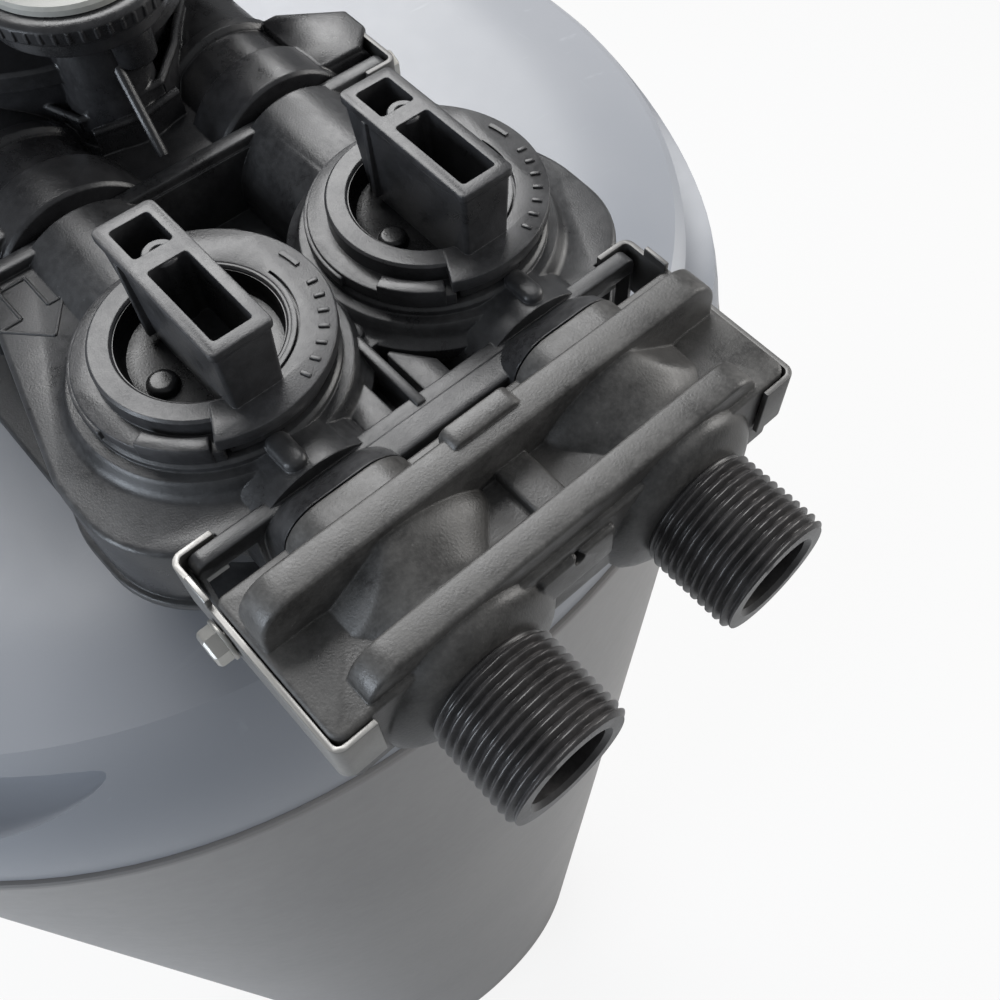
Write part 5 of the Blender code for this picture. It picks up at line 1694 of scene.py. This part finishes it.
@dataclass
class Head(Assembly):
    """The control head with its window, keys and power inlet."""

    half: float = 72.0
    front: float = -206.0
    rear: float = -126.0
    low: float = 34.3
    top: float = 100.0
    key_z: float = 54.0
    pitch: float = 24.0
    key_names: tuple[str, ...] = ("down", "up", "set", "regenerate")

    def housing(self) -> None:
        """The open-bottomed housing."""
        half, front, rear = self.half, self.front, self.rear
        plan = oblong(-half, half, front, rear, 12)
        shell = soften(slab("head_housing", plan, self.low, self.top, 10), 2.5, 4, 50)
        cuts = [block("hollow", (-half + 3, front + 10, self.low - 1), (half - 3, rear - 3, self.top - 3))]
        opening = oblong(-30.3, 30.3, 68.7, 91.3, 2)
        seat = slab("seat", opening, 0, 3.3)
        cuts.append(upright(seat, front - 1))
        for at in range(len(self.key_names)):
            x = (at - 1.5) * self.pitch
            cuts.append(rod("pocket", 6.3, (x, front - 1, self.key_z), 9, Axis.Y, 40))
        cuts.append(rod("inlet", 4.8, (-half + 20, rear - 6, 48), 10, Axis.Y, 32))
        for at in range(7):
            cuts.append(soften(block("vent", (22 + 5 * at, rear - 1.0, 60), (24 + 5 * at, rear + 1, 84)),
                               0.4, 2))
        cuts.append(block("seam", (-90, front + 9.6, self.top - 0.8), (90, front + 10.4, self.top + 1)))
        combine(shell, cuts)
        bezel = slab("bezel", oblong(-34, 34, 65, 95, 4), 0, 1.6)
        combine(bezel, [slab("opening", opening, -1, 3)])
        rings = [soften(upright(bezel, front - 0.8), 0.4, 2, 50)]
        for at in range(len(self.key_names)):
            ring = turned("ring", [(6.6, -0.5), (8.2, -0.5), (8.6, 0.4), (6.6, 0.4)],
                          ((at - 1.5) * self.pitch, front - 0.2, self.key_z), Axis.Y, 48)
            rings.append(ring)
        combine(shell, rings, Side.ADD)
        self.settle(shell, HEAD_DARK, nodes=["control_housing"])

    def window(self) -> None:
        """The display window's pane."""
        pane = slab("window_pane", oblong(-30, 30, 69, 91, 1.8), 0, 2.2)
        self.settle(soften(upright(pane, self.front - 0.2), 0.3, 2, 50), DARK_WINDOW,
                    nodes=["display_window"])

    def keys(self) -> None:
        """The four keys, each with a plain raised sign."""
        for at, name in enumerate(self.key_names):
            x = (at - 1.5) * self.pitch
            profile = [(0, 0.35), (3.6, 0.1), (5.0, 0.0), (5.7, 0.6), (6.0, 1.6), (6.0, 7.5), (0, 7.5)]
            key = turned(f"key_{name}_cap", profile, (x, self.front - 2, self.key_z), Axis.Y, 48)
            signs = {
                "down": [[(-2.2, 1.0), (0, -1.4), (2.2, 1.0)]],
                "up": [[(-2.2, -1.0), (0, 1.4), (2.2, -1.0)]],
                "set": [[(-2, 0), (2, 0)]],
                "regenerate": [[(2.2 * math.cos(math.radians(t)), 2.2 * math.sin(math.radians(t)))
                                for t in range(-40, 261, 20)]],
            }[name]
            marks = [swept("sign", [(x + a, self.front - 2.0, self.key_z + b) for a, b in route], 0.32, 8)
                     for route in signs]
            key = joined(f"key_{name}_cap", [key, *marks])
            self.settle(key, KEY_PALE, f"key_{name}", [f"button_{name}"])

    def inlet(self) -> None:
        """The power inlet's socket."""
        x = -self.half + 20
        socket = turned("power_socket", [(2.8, -4), (2.8, 2.0), (6.4, 2.0), (7, 1.4), (7, 0.3), (4.5, 0.3),
                                         (4.5, -6), (2.8, -6)], (x, self.rear, 48), Axis.Y, 40)
        self.settle(socket, BYPASS_BLACK, nodes=["power_inlet"])

    def build(self) -> None:
        """Makes the head's pieces."""
        self.housing()
        self.window()
        self.keys()
        self.inlet()


@dataclass
class Inside(Assembly):
    """The CAD nodes that show as they are: the vessel, well and other inner pieces, dressed in place."""

    finishes: tuple[tuple[Finish, tuple[str, ...]], ...] = (
        (VESSEL_BLUE, ("resin_vessel",)),
        (BYPASS_BLACK, ("vessel_boot", "lower_basket", "upper_basket")),
        (WHITE_PLASTIC, ("riser_tube", "brine_well", "well_cap", "float_rod", "brine_float",
                         "bypass_rotor_left", "bypass_rotor_right")),
        (RESIN_BEADS, ("resin_bed",)),
        (BRIGHT_STEEL, ("hinge_pin_left", "hinge_pin_right")),
        (HEAD_DARK, ("coupling_front_left", "coupling_front_right", "coupling_rear_left",
                     "coupling_rear_right")))

    def dress(self, nodes: dict[str, Piece]) -> None:
        """Gives each inner CAD node its finish.

        Args:
            nodes: the CAD nodes.
        """
        for finish, names in self.finishes:
            for name in names:
                nodes[name].data.materials.clear()
                nodes[name].data.materials.append(finish.material())
                LOG.info("%s: CAD node in %s", name, finish.name)


def seen_rays(graph: Graph) -> Value:
    """1 for the rays that the camera or clear plastic sees, and 0 for the light itself."""
    kinds = [graph.node("ShaderNodeLightPath", {}, {}, f"Is {kind} Ray")
             for kind in ("Camera", "Transmission")]
    return (kinds[0] + kinds[1]).clamped()


@dataclass
class Studio:
    """The camera, the lamps, the floor and the world."""

    place: Vector = field(default_factory=lambda: Vector((0.08121, 0.31832, 1.38764)))
    turn: tuple[float, float, float] = (31.0792, -2.3288, 136.1941)
    focal_pixels: float = 1100.62
    middle_pixels: tuple[float, float] = (585.77, 466.85)
    frame: float = 1000.0
    world_light: float = 0.30

    def camera(self) -> None:
        """The camera at the photograph's place."""
        lens = bpy.data.cameras.new("camera")
        lens.sensor_width = 36.0
        lens.sensor_fit = "HORIZONTAL"
        lens.lens = self.focal_pixels / self.frame * lens.sensor_width
        lens.shift_x = (self.frame / 2 - self.middle_pixels[0]) / self.frame
        lens.shift_y = (self.middle_pixels[1] - self.frame / 2) / self.frame
        lens.clip_start = 0.01
        eye = bpy.data.objects.new("camera", lens)
        eye.location = self.place
        eye.rotation_euler = [math.radians(angle) for angle in self.turn]
        bpy.context.scene.collection.objects.link(eye)
        bpy.context.scene.camera = eye

    def lamp(self, name: str, place: Point, target: Point, size: float, power: float,
             colour: Point) -> None:
        """One soft square lamp.

        Args:
            name: its name.
            place: where it stands.
            target: what it faces.
            size: its side in metres.
            power: in watts.
            colour: its colour.
        """
        data = bpy.data.lights.new(name, "AREA")
        data.shape = "SQUARE"
        data.size, data.energy, data.color = size, power, colour
        thing = bpy.data.objects.new(name, data)
        thing.location = place
        thing.rotation_euler = (Vector(target) - Vector(place)).to_track_quat("-Z", "Y").to_euler()
        bpy.context.scene.collection.objects.link(thing)

    def world(self) -> None:
        """A white world for the camera and through clear things, dimmer as a light."""
        world = bpy.data.worlds.new("studio")
        bpy.context.scene.world = world
        graph = Graph(world)
        path = seen_rays(graph)
        light = graph.node("ShaderNodeBackground", {},
                           {"Color": (0.93, 0.96, 1.0, 1), "Strength": self.world_light})
        white = graph.node("ShaderNodeBackground", {}, {"Color": (1, 1, 1, 1), "Strength": 1.0})
        mixed = graph.node("ShaderNodeMixShader", {}, {0: path, 1: light, 2: white})
        made = graph.tree.nodes.new("ShaderNodeOutputWorld")
        graph.tree.links.new(mixed.socket, made.inputs["Surface"])

    def floor(self) -> None:
        """A plain pale floor that the camera sees as nearly white."""
        clear_selection()
        bpy.ops.mesh.primitive_plane_add(size=40, location=(0, 0, -0.0005))
        floor = named("floor")
        material = bpy.data.materials.new("floor")
        graph = Graph(material)
        matt = graph.node("ShaderNodeBsdfDiffuse", {}, {"Color": (0.6, 0.6, 0.6, 1)})
        glow = graph.node("ShaderNodeEmission", {}, {"Color": (1, 1, 1, 1), "Strength": 1.0})
        graph.node_output(graph.node("ShaderNodeMixShader", {},
                                     {0: seen_rays(graph) * 0.86, 1: matt, 2: glow}))
        floor.data.materials.append(material)
        floor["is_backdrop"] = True

    def build(self) -> None:
        """Sets up the studio."""
        self.camera()
        self.world()
        self.floor()
        self.lamp("top", (-0.6, -1.5, 3.0), (0, 0.1, 1.1), 1.8, 86, (1.0, 1.0, 1.0))
        self.lamp("window", (2.6, -0.1, 1.6), (0, 0.15, 1.14), 1.2, 48, (0.82, 0.90, 1.0))
        self.lamp("side", (-2.2, 0.9, 1.9), (0, 0.1, 1.05), 1.3, 36, (1.0, 0.98, 0.95))
        bpy.context.scene.view_settings.view_transform = "Standard"


def corners() -> list[list[float]]:
    """The lowest and highest corner of what shows, as plain lists."""
    return [[round(value, 5) for value in corner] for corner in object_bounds()]


def main() -> None:
    """Builds the water softener round its CAD frame."""
    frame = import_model()
    Studio().build()
    Cabinet().build()
    Bypass().build()
    for side, sign in SIDES:
        Knob(side=side, sign=sign).build()
    Manifold().build()
    Clips().build()
    Valve().build()
    Head().build()
    Inside().dress(frame["nodes"])
    clear_selection()


if __name__ == "__main__":
    logging.basicConfig(level=logging.INFO, format="%(message)s")
    main()
